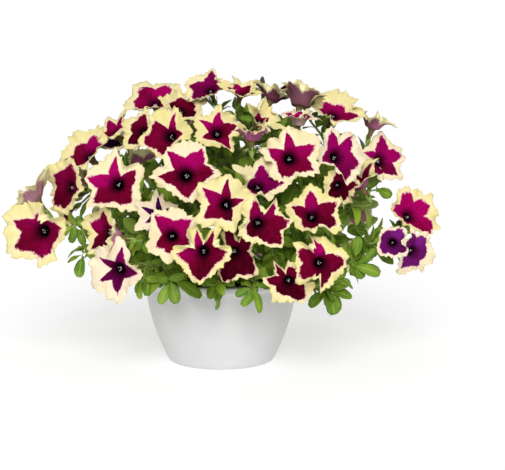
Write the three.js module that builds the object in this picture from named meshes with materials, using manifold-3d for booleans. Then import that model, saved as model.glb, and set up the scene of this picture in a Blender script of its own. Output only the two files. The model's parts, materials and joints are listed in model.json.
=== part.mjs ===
// A trailing petunia in full bloom, growing in a plain white bowl pot.
// Millimetres, +Z up. The origin is the middle of the pot's underside, and the front looks along -Y.
import * as THREE from "three";
import { mergeVertices } from "three/addons/utils/BufferGeometryUtils.js";
import Module from "manifold-3d";

const wasm = await Module();
wasm.setup();

const GAP = 0.3; // left between pieces that touch
const UP = new THREE.Vector3(0, 0, 1);
const ONE = new THREE.Vector3(1, 1, 1);
const TURN = 2 * Math.PI;

// The pot's outer wall is a smooth bowl curve through its corner, belly and mouth.
const POT = {
  height: 95,
  wall: 2.5,
  floor: 5.5,
  footRadius: 54,
  corner: 2.5,
  cornerRadius: 58.1,
  bellyHeight: 39,
  bellyRadius: 73.1,
  mouthRadius: 83,
  rimReach: 3.5,
  rimDrop: 7,
  rimRound: 1.5,
  padRadius: 20,
  channelDepth: 2.5,
  channelRadius: 41,
  channelSlope: 1.5,
  drainHoles: 4,
  drainRadius: 5,
  drainCircle: 31,
  rings: 4,
  sides: 32,
};

// The mix's sides are chords of the pot's curve, so they keep a little more than the gap to it.
const MIX = { top: 83, edgeTop: 80, shoulder: 55, collar: 10.3, rootHole: 6.3, holeBottom: 55, inset: 0.65 };
const CROWN = { root: 6, taper: 8, bottom: 55.6, collar: 9, collarBottom: 83.4, shoulder: 89, top: 92 };

// A bloom at its nominal size: a trumpet with five pointed lobes, seen from the front along -Z.
const BLOOM = {
  across: 66,
  tube: 31,
  tubeRadius: 2.3,
  bore: 27,
  throat: 10.4,
  throatDepth: 3,
  lift: 1.4,
  skin: 0.9,
  lobe: 0.09,
  sectors: 10,
};
const SWELL = 0.45; // a bloom is thickened by this for the clearance tests
const SETTLE = { step: 3, rounds: 90 };

const TRUNK = { radius: 2.2, sides: 6, run: 30, shoulder: { r: 46, z: 108 }, end: { r: 66, z: 138 } };
const BRANCH = { radius: 1.3, sides: 4, step: 28, leastSteps: 5, sink: 1.5 };
const CALYX = { radius: 3.1, tip: 1.2, length: 6 };

// Leaves stand along a branch at this spacing, each turned on from the last, except near the bloom. A leafy
// tip ends in a whorl of four.
const LEAF = { length: 34, width: 17, skin: 0.9, stalk: 1.6, widest: 0.55 };
const LEAVES = { first: 14, spacing: 44, bare: 26, turn: 2.4, forward: 0.5, lift: 0.15 };
const WHORL = { shares: [0.97, 0.975, 0.98, 0.985], size: 0.9 };

// How a branch is chosen: its own length and the way back to the crown both count against a starting point.
const ROUTE = { backCost: 0.12, least: 24, every: 3, choices: 40, bends: [0.35, 0.5, 0.2, 0.7], lead: 26 };
const FORK = { trunkFrom: 0.55, from: 0.12, to: 0.55, spacing: 8 };

// The camera that took the photograph, worked out from the pot: it looks 10 degrees down.
const VIEW = {
  middle: { px: 252.5, py: 235 },
  aim: new THREE.Vector3(34, 0, 136),
  distance: 1900,
  tilt: THREE.MathUtils.degToRad(10),
  mmPerPixel: 1.08,
};
const FORWARD = new THREE.Vector3(0, Math.cos(VIEW.tilt), -Math.sin(VIEW.tilt));
const SCREEN_UP = new THREE.Vector3(0, Math.sin(VIEW.tilt), Math.cos(VIEW.tilt));

// The dome that the blooms lie on.
const DOME = { middle: new THREE.Vector3(16, 0, 118), reach: new THREE.Vector3(185, 165, 187) };

// Blooms that the photograph shows: px, py is the middle of the bloom, nearer how far it stands off the dome
// towards the viewer, yaw and pitch where it looks (right and up), turn how far its first lobe leans
// clockwise, across its diameter, and violet the two that came out in that colour.
const SHOWN = [
  { px: 209, py: 87, nearer: 0, yaw: -22, pitch: 50, turn: 0, across: 48 },
  { px: 241, py: 91, nearer: 0, yaw: 25, pitch: 66, turn: 0, across: 42 },
  { px: 272, py: 94, nearer: 0, yaw: 140, pitch: 62, turn: 20, across: 44 },
  { px: 301, py: 97, nearer: 0, yaw: 150, pitch: 70, turn: 0, across: 52 },
  { px: 335, py: 111, nearer: 0, yaw: 22, pitch: 52, turn: -10, across: 58 },
  { px: 374, py: 122, nearer: -8, yaw: 110, pitch: 72, turn: 0, across: 46 },
  { px: 263, py: 118, nearer: 0, yaw: 48, pitch: 42, turn: 10, across: 46 },
  { px: 252, py: 133, nearer: 8, yaw: 175, pitch: 80, turn: 0, across: 42 },
  { px: 299, py: 118, nearer: -14, yaw: 60, pitch: 86, turn: 0, across: 38 },
  { px: 154, py: 99, nearer: -6, yaw: -18, pitch: 56, turn: 20, across: 60 },
  { px: 182, py: 108, nearer: -24, yaw: 15, pitch: 45, turn: 0, across: 46 },
  { px: 168, py: 134, nearer: 0, yaw: -20, pitch: 25, turn: 15, across: 60 },
  { px: 217, py: 131, nearer: -2, yaw: 5, pitch: 28, turn: 14, across: 56 },
  { px: 139, py: 131, nearer: -22, yaw: -45, pitch: 20, turn: 0, across: 50 },
  { px: 111, py: 129, nearer: -12, yaw: -62, pitch: 50, turn: 0, across: 52 },
  { px: 85, py: 152, nearer: 0, yaw: -44, pitch: 46, turn: 0, across: 60 },
  { px: 66, py: 187, nearer: 2, yaw: -48, pitch: 12, turn: 0, across: 60 },
  { px: 32, py: 197, nearer: -14, yaw: -105, pitch: 45, turn: 0, across: 60 },
  { px: 39, py: 231, nearer: 42, yaw: -25, pitch: 8, turn: -3, across: 74 },
  { px: 116, py: 184, nearer: 4, yaw: -12, pitch: 15, turn: 0, across: 66 },
  { px: 185, py: 175, nearer: 10, yaw: -5, pitch: 15, turn: -40, across: 70 },
  { px: 226, py: 204, nearer: 12, yaw: 0, pitch: 15, turn: 9, across: 62 },
  { px: 290, py: 157, nearer: 6, yaw: 5, pitch: 22, turn: -6, across: 64 },
  { px: 338, py: 156, nearer: 4, yaw: 28, pitch: 18, turn: -5, across: 60 },
  { px: 340, py: 187, nearer: -18, yaw: 20, pitch: -12, turn: 0, across: 48 },
  { px: 382, py: 160, nearer: 0, yaw: 30, pitch: 18, turn: 0, across: 58 },
  { px: 258, py: 183, nearer: -8, yaw: 5, pitch: 45, turn: 0, across: 56 },
  { px: 259, py: 224, nearer: 16, yaw: 8, pitch: 5, turn: 0, across: 58 },
  { px: 313, py: 214, nearer: 4, yaw: 8, pitch: 35, turn: -8, across: 58 },
  { px: 171, py: 236, nearer: 4, yaw: -8, pitch: 12, turn: -37, across: 58 },
  { px: 157, py: 213, nearer: -26, yaw: -15, pitch: 25, turn: 0, across: 50 },
  { px: 203, py: 252, nearer: 12, yaw: -4, pitch: 5, turn: -16, across: 60 },
  { px: 236, py: 254, nearer: 0, yaw: 15, pitch: -5, turn: -8, across: 58 },
  { px: 288, py: 283, nearer: -18, yaw: -5, pitch: -8, turn: 30, across: 54 },
  { px: 321, py: 263, nearer: 4, yaw: 12, pitch: 10, turn: -10, across: 60 },
  { px: 103, py: 233, nearer: -12, yaw: -52, pitch: 8, turn: 0, across: 58 },
  { px: 116, py: 271, nearer: -6, yaw: -25, pitch: -5, turn: 15, across: 70 },
  { px: 411, py: 214, nearer: -4, yaw: 30, pitch: 32, turn: 0, across: 60 },
  { px: 392, py: 243, nearer: -2, yaw: -12, pitch: 5, turn: 10, across: 42, violet: true },
  { px: 415, py: 252, nearer: 14, yaw: 35, pitch: -5, turn: 30, across: 52, violet: true },
  { px: 359, py: 180, nearer: -6, yaw: -65, pitch: 55, turn: 0, across: 50 },
];

// Blooms round the back, which the photograph doesn't show: rings of them at a bearing from straight back
// and a height angle on the dome.
const BACK_RINGS = [
  { height: 8, bearings: [-52, -18, 15, 47], across: 64 },
  { height: 24, bearings: [-42, -2, 38], across: 62 },
  { height: 40, bearings: [-24, 17], across: 60 },
];

// Leafy shoot tips that the photograph shows, hanging over the pot's rim and out of the sides.
const SHOWN_TIPS = [
  { px: 170, py: 281, nearer: -38 },
  { px: 219, py: 284, nearer: -40 },
  { px: 256, py: 288, nearer: -44 },
  { px: 335, py: 285, nearer: -24 },
  { px: 352, py: 240, nearer: 0 },
  { px: 372, py: 212, nearer: -30 },
  { px: 80, py: 232, nearer: -20 },
  { px: 140, py: 262, nearer: -30 },
];
const BACK_TIPS = { bearings: [-75, -45, -15, 15, 45, 75], radius: 112, height: 112, rise: 20 };

const SHOOTS = [
  { name: "shoot_right", bearing: 0 },
  { name: "shoot_back_right", bearing: 60 },
  { name: "shoot_back_left", bearing: 120 },
  { name: "shoot_left", bearing: 180 },
  { name: "shoot_front_left", bearing: 240 },
  { name: "shoot_front_right", bearing: 300 },
];
// The blooms high up near the axis belong to the top shoot.
const TOP_SHOOT = { name: "shoot_top", radius: 78, height: 205, trunk: [115, 130, 150], sway: [6, 4] };

const COLOUR = {
  pot: { color: 0xf4f4f2, roughness: 0.35, metalness: 0 },
  mix: { color: 0x3a2a1c, roughness: 0.95, metalness: 0 },
  crown: { color: 0x7b6a45, roughness: 0.8, metalness: 0 },
  shoot: { color: 0x5f8f2a, roughness: 0.6, metalness: 0 },
  bloom: { color: 0x9a0a48, roughness: 0.55, metalness: 0 },
  violetBloom: { color: 0x5a1470, roughness: 0.55, metalness: 0 },
};

// A closed geometry as a solid that can be joined and cut.
function solidOf(geometry) {
  const bare = geometry.clone();
  bare.deleteAttribute("normal");
  bare.deleteAttribute("uv");
  const merged = mergeVertices(bare, 1e-4);
  const vertProperties = merged.attributes.position.array;
  const triVerts = new Uint32Array(merged.index.array);
  return new wasm.Manifold(new wasm.Mesh({ numProp: 3, vertProperties, triVerts }));
}

function geometryOf(solid) {
  const mesh = solid.getMesh();
  const geometry = new THREE.BufferGeometry();
  geometry.setAttribute("position", new THREE.BufferAttribute(mesh.vertProperties, 3));
  geometry.setIndex(new THREE.BufferAttribute(mesh.triVerts, 1));
  geometry.computeVertexNormals();
  return geometry;
}

// A profile of [radius, height] points turned round the Z axis.
function turned(profile, sides) {
  const points = profile.map(([r, z]) => new THREE.Vector2(r, z));
  return new THREE.LatheGeometry(points, sides).rotateX(Math.PI / 2);
}

// A round bar along a curve, closed at both ends.
function bar(curve, radius, sides = BRANCH.sides) {
  const section = new THREE.Shape();
  for (let i = 0; i < sides; i++) {
    const a = (i / sides) * TURN;
    const [x, y] = [radius * Math.cos(a), radius * Math.sin(a)];
    i ? section.lineTo(x, y) : section.moveTo(x, y);
  }
  return new THREE.ExtrudeGeometry(section, {
    extrudePath: curve,
    steps: stepsOf(curve),
    bevelEnabled: false,
  });
}

function stepsOf(curve) {
  return Math.max(BRANCH.leastSteps, Math.round(curve.getLength() / BRANCH.step));
}

// The point and direction of a bar's middle line at a share of its length.
function midline(curve, share) {
  const line = curve.getSpacedPoints(stepsOf(curve));
  const place = share * (line.length - 1);
  const i = Math.min(Math.floor(place), line.length - 2);
  const spot = line[i].clone().lerp(line[i + 1], place - i);
  return { spot, along: line[i + 1].clone().sub(line[i]).normalize() };
}

// The outer radius of the pot's wall at a height: the parabola through corner, belly and mouth.
function wallRadius(z) {
  const knots = [
    [POT.corner, POT.cornerRadius],
    [POT.bellyHeight, POT.bellyRadius],
    [POT.height, POT.mouthRadius],
  ];
  return knots.reduce((sum, [zi, ri], i) => {
    const others = knots.filter((_, j) => j !== i);
    return sum + ri * others.reduce((w, [zj]) => (w * (z - zj)) / (zi - zj), 1);
  }, 0);
}

// The inside corner is rounded off by a chord, as wide as the wall is thick.
function floorEdge() {
  return POT.cornerRadius - 2.6 * POT.wall;
}

function potSolid() {
  const rimFoot = POT.height - POT.rimDrop;
  const profile = [
    [0, 0],
    [POT.padRadius, 0],
    [POT.padRadius + POT.channelSlope, POT.channelDepth],
    [POT.channelRadius, POT.channelDepth],
    [POT.channelRadius + POT.channelSlope, 0],
    [POT.footRadius, 0],
    [THREE.MathUtils.lerp(POT.footRadius, POT.cornerRadius, 0.65), 0.3 * POT.corner],
  ];
  for (let i = 0; i <= POT.rings; i++) {
    const z = THREE.MathUtils.lerp(POT.corner, rimFoot, i / POT.rings);
    profile.push([wallRadius(z), z]);
  }
  profile.push([wallRadius(rimFoot) + POT.rimReach, rimFoot + POT.rimRound / 3]);
  profile.push([POT.mouthRadius + POT.rimReach, POT.height - POT.rimRound]);
  profile.push([POT.mouthRadius + POT.rimRound, POT.height]);
  profile.push([POT.mouthRadius - POT.rimRound, POT.height]);
  for (let i = POT.rings; i >= 1; i--) {
    const z = THREE.MathUtils.lerp(POT.floor, rimFoot, i / POT.rings);
    profile.push([wallRadius(z) - POT.wall, z]);
  }
  profile.push([floorEdge(), POT.floor]);
  profile.push([0, POT.floor]);
  let pot = solidOf(turned(profile, POT.sides));
  for (let i = 0; i < POT.drainHoles; i++) {
    const a = ((i + 0.5) / POT.drainHoles) * TURN;
    const drill = new THREE.CylinderGeometry(POT.drainRadius, POT.drainRadius, 4 * POT.floor, 12);
    drill.rotateX(Math.PI / 2);
    drill.translate(POT.drainCircle * Math.cos(a), POT.drainCircle * Math.sin(a), 0);
    pot = pot.subtract(solidOf(drill));
  }
  return pot;
}

// The potting mix fills the pot a finger's width below the rim, with the main root's hole in the middle.
function mixSolid() {
  const inside = (z) => wallRadius(z) - POT.wall - MIX.inset;
  const profile = [
    [0, POT.floor + GAP],
    [floorEdge() - 2 * MIX.inset, POT.floor + GAP],
  ];
  for (let i = 1; i < POT.rings; i++) {
    const z = THREE.MathUtils.lerp(POT.floor, POT.height - POT.rimDrop, i / POT.rings);
    profile.push([inside(z), z]);
  }
  profile.push([inside(MIX.edgeTop), MIX.edgeTop]);
  profile.push([MIX.shoulder, THREE.MathUtils.lerp(MIX.edgeTop, MIX.top, 0.7)]);
  profile.push([MIX.collar, MIX.top]);
  profile.push([MIX.rootHole, MIX.top]);
  profile.push([MIX.rootHole, MIX.holeBottom]);
  profile.push([0, MIX.holeBottom]);
  return solidOf(turned(profile, POT.sides));
}

function crownSolid() {
  const profile = [
    [0, CROWN.bottom],
    [0.5 * CROWN.root, CROWN.bottom],
    [CROWN.root, CROWN.bottom + CROWN.taper],
    [CROWN.root, CROWN.collarBottom],
    [CROWN.collar, CROWN.collarBottom],
    [CROWN.collar, CROWN.shoulder],
    [0.7 * CROWN.collar, CROWN.top],
    [0, CROWN.top],
  ];
  return solidOf(turned(profile, 18));
}

// One corolla: a turned trumpet whose rim is drawn out into five pointed lobes. Its first lobe is on +Y.
function bloomGeometry(across, swell = 0) {
  const rim = BLOOM.across / 2 / (1 + BLOOM.lobe);
  const { tube, tubeRadius, bore, throat, throatDepth, lift, skin } = BLOOM;
  const profile = [
    [0, -tube - swell],
    [tubeRadius + swell, -tube - swell],
    [throat + swell, -throatDepth - swell],
    [rim, lift - swell],
    [rim, lift + skin + swell],
    [throat - 0.7 * skin, skin - throatDepth + swell],
    [0, 3 * swell - bore],
  ];
  const geometry = turned(profile, BLOOM.sectors);
  const at = geometry.attributes.position;
  for (let i = 0; i < at.count; i++) {
    const [x, y, z] = [at.getX(i), at.getY(i), at.getZ(i)];
    const spread = THREE.MathUtils.smoothstep(Math.hypot(x, y), throat, rim);
    const lobe = Math.cos(5 * Math.atan2(x, y));
    const stretch = 1 + BLOOM.lobe * lobe * spread;
    at.setXYZ(i, x * stretch, y * stretch, z);
  }
  const size = across / BLOOM.across;
  return geometry.scale(size, size, size);
}

// Where a line of sight through a pixel of the photograph goes.
function sightLine(px, py) {
  const focal = VIEW.distance / VIEW.mmPerPixel;
  const direction = FORWARD.clone();
  direction.x += (px - VIEW.middle.px) / focal;
  direction.addScaledVector(SCREEN_UP, (VIEW.middle.py - py) / focal);
  const eye = VIEW.aim.clone().addScaledVector(FORWARD, -VIEW.distance);
  return { eye, direction: direction.normalize() };
}

// The point where that line first meets the dome, or passes closest to its middle, less the stand-off.
function onDome({ px, py, nearer }) {
  const { eye, direction } = sightLine(px, py);
  const from = eye.clone().sub(DOME.middle).divide(DOME.reach);
  const along = direction.clone().divide(DOME.reach);
  const a = along.lengthSq();
  const b = from.dot(along);
  const c = from.lengthSq() - 1;
  const reach = Math.max(0, b * b - a * c);
  const travel = (-b - Math.sqrt(reach)) / a - nearer;
  return eye.addScaledVector(direction, travel);
}

function facing(yaw, pitch) {
  const [y, p] = [THREE.MathUtils.degToRad(yaw), THREE.MathUtils.degToRad(pitch)];
  return new THREE.Vector3(Math.sin(y) * Math.cos(p), -Math.cos(y) * Math.cos(p), Math.sin(p));
}

// The turn that points a bloom's axis along `face` and its first lobe up, leaning clockwise by `turn`.
function attitude(face, turn) {
  const up = UP.clone().addScaledVector(face, -face.z);
  if (up.length() < 0.05) up.set(0, 1, 0);
  up.normalize().applyAxisAngle(face, -THREE.MathUtils.degToRad(turn));
  const side = new THREE.Vector3().crossVectors(up, face);
  return new THREE.Quaternion().setFromRotationMatrix(new THREE.Matrix4().makeBasis(side, up, face));
}

function bloomList() {
  const blooms = SHOWN.map((one) => ({
    ...one,
    spot: onDome(one),
    face: facing(one.yaw, one.pitch),
  }));
  for (const { height, bearings, across } of BACK_RINGS)
    for (const bearing of bearings) {
      const out = facing(180 - bearing, height);
      const spot = out.clone().multiply(DOME.reach).add(DOME.middle);
      const face = facing(180 - bearing, 0.7 * height + 14);
      blooms.push({ spot, face, turn: bearing, across });
    }
  return blooms;
}

function placed(solid, bloom) {
  const matrix = new THREE.Matrix4().compose(bloom.spot, attitude(bloom.face, bloom.turn), ONE);
  return solid.transform(matrix.elements);
}

function boxesMeet(a, b) {
  return [0, 1, 2].every((i) => a.min[i] <= b.max[i] && b.min[i] <= a.max[i]);
}

function meet(a, b) {
  return boxesMeet(a.box, b.box) && a.solid.intersect(b.solid).volume() > 1e-6;
}

function boxed(solid, extra = {}) {
  return { solid, box: solid.boundingBox(), ...extra };
}

// Of two blooms that touch, the one farther from the viewer steps back along its line of sight, again and
// again until all are clear.
function settleBlooms(blooms) {
  const swollen = blooms.map((b) => solidOf(bloomGeometry(b.across, SWELL)));
  const held = blooms.map((b, i) => boxed(placed(swollen[i], b)));
  const depth = (b) => b.spot.dot(FORWARD);
  for (let round = 0; round < SETTLE.rounds; round++) {
    let still = true;
    for (let i = 0; i < blooms.length; i++)
      for (let j = i + 1; j < blooms.length; j++) {
        if (!meet(held[i], held[j])) continue;
        const far = depth(blooms[i]) > depth(blooms[j]) ? i : j;
        blooms[far].spot.addScaledVector(FORWARD, SETTLE.step);
        held[far] = boxed(placed(swollen[far], blooms[far]));
        still = false;
      }
    if (still) return;
  }
}

// A leaf blade on a short stalk: base at the origin, tip along +Y, its face up.
function leafSolid(length) {
  const half = (LEAF.width * length) / LEAF.length / 2;
  const outline = new THREE.Shape();
  outline.moveTo(-LEAF.stalk / 2, 0);
  outline.lineTo(LEAF.stalk / 2, 0);
  outline.lineTo(half, LEAF.widest * length);
  outline.lineTo(0, length);
  outline.lineTo(-half, LEAF.widest * length);
  const blade = new THREE.ExtrudeGeometry(outline, { depth: LEAF.skin, bevelEnabled: false });
  return solidOf(blade.translate(0, 0, -LEAF.skin / 2));
}

function leafAt(root, direction, length) {
  const along = direction.clone().normalize();
  const side = new THREE.Vector3().crossVectors(along, UP).normalize();
  const normal = new THREE.Vector3().crossVectors(side, along);
  const matrix = new THREE.Matrix4().makeBasis(side, along, normal).setPosition(root);
  return leafSolid(length).transform(matrix.elements);
}

// The stalk's end of a bloom, just behind its tube.
function baseOf(bloom) {
  const reach = (BLOOM.tube * bloom.across) / BLOOM.across + GAP;
  return bloom.spot.clone().addScaledVector(bloom.face, -reach);
}

function calyxSolid(base, face) {
  const cup = new THREE.CylinderGeometry(CALYX.radius, CALYX.tip, CALYX.length, BRANCH.sides);
  const turn = new THREE.Quaternion().setFromUnitVectors(new THREE.Vector3(0, 1, 0), face);
  const middle = base.clone().addScaledVector(face, -CALYX.length / 2);
  return solidOf(cup).transform(new THREE.Matrix4().compose(middle, turn, ONE).elements);
}

// The points of a stem that side branches may leave from.
function joints(curve, from, to, reach) {
  const length = curve.getLength();
  const count = Math.max(2, Math.round(length / FORK.spacing));
  const spots = [];
  for (let i = 0; i <= count; i++) {
    const share = THREE.MathUtils.lerp(from, to, i / count);
    spots.push({ ...midline(curve, share), reach: reach + share * length });
  }
  return spots;
}

// Possible starting points for a branch to `end`, the cheapest first.
function starts(spots, end) {
  return spots
    .map((s) => ({ ...s, cost: s.spot.distanceTo(end) + ROUTE.backCost * s.reach }))
    .filter((s) => s.spot.distanceTo(end) > ROUTE.least)
    .sort((a, b) => a.cost - b.cost)
    .filter((_, i) => i % ROUTE.every === 0)
    .slice(0, ROUTE.choices);
}

// A branch leaves halfway between its parent's direction and its target's, and comes up behind the bloom.
function branchCurve(from, { end, face }, bend) {
  const span = from.spot.distanceTo(end);
  const toEnd = end.clone().sub(from.spot).normalize();
  const leave = from.along.clone().add(toEnd).normalize();
  return new THREE.CubicBezierCurve3(
    from.spot,
    from.spot.clone().addScaledVector(leave, bend * span),
    end.clone().addScaledVector(face, -Math.min(ROUTE.lead, bend * span)),
    end.clone().addScaledVector(face, -BRANCH.sink),
  );
}

// The first branch to the target that is clear of everything but its own bloom.
function clearBranch(spots, target, clear) {
  for (const bend of ROUTE.bends)
    for (const from of starts(spots, target.end)) {
      const curve = branchCurve(from, target, bend);
      if (clear(solidOf(bar(curve, BRANCH.radius + GAP)), target.bloom)) return { curve, from };
    }
  throw new Error("no clear way to bloom or tip at " + target.end.toArray().map(Math.round));
}

// One shoot: its trunk out of the crown, a branch to each of its blooms and leafy tips, a calyx behind each
// bloom, and leaves turned round the branches. `others` are the solids that it has to stay clear of.
function growShoot(trunk, targets, others) {
  const pieces = [solidOf(bar(trunk, TRUNK.radius, TRUNK.sides))];
  const branches = [];
  let spots = joints(trunk, FORK.trunkFrom, 1, 0);
  const clear = (solid, own = NaN) => {
    const tested = boxed(solid);
    return !others.some((other) => other.bloom !== own && meet(tested, other));
  };
  for (const target of targets) {
    const leafy = target.bloom === undefined;
    const { curve, from } = clearBranch(spots, target, clear);
    pieces.push(solidOf(bar(curve, BRANCH.radius)));
    if (!leafy) pieces.push(calyxSolid(target.end, target.face));
    branches.push({ curve, leafy });
    spots = spots.concat(joints(curve, FORK.from, FORK.to, from.reach));
  }
  let turn = 0;
  for (const { curve, leafy } of branches) {
    const length = curve.getLength();
    const shares = [];
    for (let s = LEAVES.first; s < length - LEAVES.bare; s += LEAVES.spacing) shares.push(s / length);
    if (leafy) shares.push(...WHORL.shares);
    for (const share of shares) {
      turn += LEAVES.turn;
      const { spot, along } = midline(curve, share);
      const across = new THREE.Vector3().crossVectors(along, UP).normalize();
      across.applyAxisAngle(along, turn).addScaledVector(along, LEAVES.forward);
      const size = leafy ? WHORL.size : 1;
      const leaf = leafAt(spot, across.addScaledVector(UP, LEAVES.lift), LEAF.length * size);
      if (clear(leaf)) pieces.push(leaf);
    }
  }
  return wasm.Manifold.union(pieces);
}

// The bearing of a point round the pot, in degrees from +X.
function bearingOf(point) {
  return (THREE.MathUtils.radToDeg(Math.atan2(point.y, point.x)) + 360) % 360;
}

function trunkCurve(bearing) {
  const a = THREE.MathUtils.degToRad(bearing);
  const at = (r, z) => new THREE.Vector3(r * Math.cos(a), r * Math.sin(a), z);
  const middle = 0.5 * (CROWN.collarBottom + CROWN.shoulder);
  return new THREE.CubicBezierCurve3(
    at(CROWN.collar + GAP, middle),
    at(TRUNK.run, middle),
    at(TRUNK.shoulder.r, TRUNK.shoulder.z),
    at(TRUNK.end.r, TRUNK.end.z),
  );
}

function topTrunk() {
  const [low, middle, high] = TOP_SHOOT.trunk;
  return new THREE.CubicBezierCurve3(
    new THREE.Vector3(0, 0, CROWN.top + GAP),
    new THREE.Vector3(0, 0, low),
    new THREE.Vector3(...TOP_SHOOT.sway, middle),
    new THREE.Vector3(0, 0, high),
  );
}

function tipList() {
  const tips = SHOWN_TIPS.map((one) => ({ end: onDome(one) }));
  for (const bearing of BACK_TIPS.bearings) {
    const out = facing(180 - bearing, 0);
    tips.push({ end: out.multiplyScalar(BACK_TIPS.radius).setZ(BACK_TIPS.height) });
  }
  for (const tip of tips) tip.face = tip.end.clone().setZ(BACK_TIPS.rise).normalize();
  return tips;
}

const plant = new THREE.Group();

function add(name, geometry, finish) {
  const mesh = new THREE.Mesh(geometry, new THREE.MeshStandardMaterial(finish));
  mesh.name = name;
  plant.add(mesh);
  return mesh;
}

const pot = potSolid();
const mix = mixSolid();
const crown = crownSolid();
add("pot", geometryOf(pot), COLOUR.pot);
add("potting_mix", geometryOf(mix), COLOUR.mix);
add("root_crown", geometryOf(crown), COLOUR.crown);

const blooms = bloomList();
settleBlooms(blooms);
blooms.forEach((bloom, i) => {
  const finish = bloom.violet ? COLOUR.violetBloom : COLOUR.bloom;
  const name = "flower_" + String(i + 1).padStart(2, "0");
  const mesh = add(name, bloomGeometry(bloom.across), finish);
  mesh.position.copy(bloom.spot);
  mesh.quaternion.copy(attitude(bloom.face, bloom.turn));
});

const targets = blooms.map((bloom, i) => ({ end: baseOf(bloom), face: bloom.face, bloom: i }));
targets.push(...tipList());
for (const target of targets) {
  const flat = Math.hypot(target.end.x, target.end.y);
  const high = target.end.z > TOP_SHOOT.height && flat < TOP_SHOOT.radius;
  const near = SHOOTS.map((s) => Math.abs(((bearingOf(target.end) - s.bearing + 540) % 360) - 180));
  target.shoot = high ? TOP_SHOOT.name : SHOOTS[near.indexOf(Math.min(...near))].name;
  target.far = target.end.distanceTo(new THREE.Vector3(0, 0, CROWN.top));
}
targets.sort((a, b) => a.far - b.far);

const settled = blooms.map((bloom, i) =>
  boxed(placed(solidOf(bloomGeometry(bloom.across, SWELL)), bloom), { bloom: i }),
);
const others = [boxed(pot), boxed(mix), boxed(crown), ...settled];
for (const { name, bearing } of [TOP_SHOOT, ...SHOOTS]) {
  const trunk = bearing === undefined ? topTrunk() : trunkCurve(bearing);
  const mine = targets.filter((target) => target.shoot === name);
  const shoot = growShoot(trunk, mine, others);
  others.push(boxed(shoot));
  add(name, geometryOf(shoot), COLOUR.shoot);
}
export default plant;
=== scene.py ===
"""The looks of a trailing petunia in full bloom, growing in a plain white bowl pot.

Metres, +Z up, the pot's underside on z = 0, the front along -Y. Every new surface is rings of points, worked
out as whole arrays and joined ring to ring, so all shells are closed.
"""
import json
import math

import bpy
import numpy as np
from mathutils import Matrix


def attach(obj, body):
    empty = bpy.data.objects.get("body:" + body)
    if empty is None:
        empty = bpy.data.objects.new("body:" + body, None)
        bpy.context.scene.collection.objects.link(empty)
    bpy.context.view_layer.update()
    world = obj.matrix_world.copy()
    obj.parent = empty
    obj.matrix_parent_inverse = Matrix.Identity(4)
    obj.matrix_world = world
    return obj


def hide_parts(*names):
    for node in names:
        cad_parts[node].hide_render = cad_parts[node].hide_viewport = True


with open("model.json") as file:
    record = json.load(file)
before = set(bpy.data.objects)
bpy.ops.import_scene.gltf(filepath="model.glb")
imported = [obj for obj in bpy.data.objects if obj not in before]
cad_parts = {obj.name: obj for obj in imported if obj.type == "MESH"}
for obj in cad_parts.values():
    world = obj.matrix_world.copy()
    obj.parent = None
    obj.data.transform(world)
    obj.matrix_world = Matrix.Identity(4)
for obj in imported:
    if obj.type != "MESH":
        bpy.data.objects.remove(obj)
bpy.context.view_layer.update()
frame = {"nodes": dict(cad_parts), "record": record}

MM = 0.001
TURN = 2 * math.pi
UP = np.array([0.0, 0.0, 1.0])

# Where the random numbers start. A bloom's number or a shoot's place in its row is added.
SEEDS = {"petals": 20, "anthers": 120, "more_blooms": 320, "inner_tips": 420, "shoot": 520, "sepals": 720}
SEEDS |= {"mix": 820, "bark": 821, "perlite": 822, "crown": 920}

# The camera that took the photograph: it looks 10 degrees down at the aim point. One pixel of the
# photograph is 1.08 mm at the aim.
CAMERA = {"aim": np.array([34.0, 0.0, 136.0]) * MM, "distance": 1900 * MM, "tilt": math.radians(10)}
PHOTO = {"width": 505, "height": 470, "pixel": 1.08 * MM, "sensor": 36.0}
FORWARD = np.array([0, math.cos(CAMERA["tilt"]), -math.sin(CAMERA["tilt"])])
SCREEN_UP = np.array([0, math.sin(CAMERA["tilt"]), math.cos(CAMERA["tilt"])])
SCREEN_RIGHT = np.array([1.0, 0, 0])

# The dome that the blooms lie on.
DOME = {"middle": np.array([16.0, 0, 118]) * MM, "reach": np.array([185.0, 165, 187]) * MM}

# A bloom's own sizes, in millimetres at a diameter of 66 mm.
BLOOM = {"across": 66.0, "tube": 31.0, "foot": 2.2, "neck": 8.0, "rise": 4.0, "pull": 77.0}
COLUMNS = 130
TUBE_RINGS = 6
LIMB_RINGS = 13


def smooth(value, low, high):
    """0 below low, 1 above high, and a smooth S between."""
    t = np.clip((value - low) / (high - low), 0, 1)
    return t * t * (3 - 2 * t)


def unit(vectors):
    """Each vector at length 1."""
    return vectors / np.linalg.norm(vectors, axis=-1, keepdims=True)


def square_to(vectors, axes):
    """The part of each vector at a right angle to its axis, at length 1."""
    return unit(vectors - (vectors * axes).sum(-1, keepdims=True) * axes)


def linear(colour):
    """An sRGB hex colour as the linear RGBA that a shader takes."""
    value = np.array([int(colour[i : i + 2], 16) for i in (1, 3, 5)]) / 255
    low, high = value / 12.92, ((value + 0.055) / 1.055) ** 2.4
    return (*np.where(value <= 0.04045, low, high), 1.0)


# Shells and meshes


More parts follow.
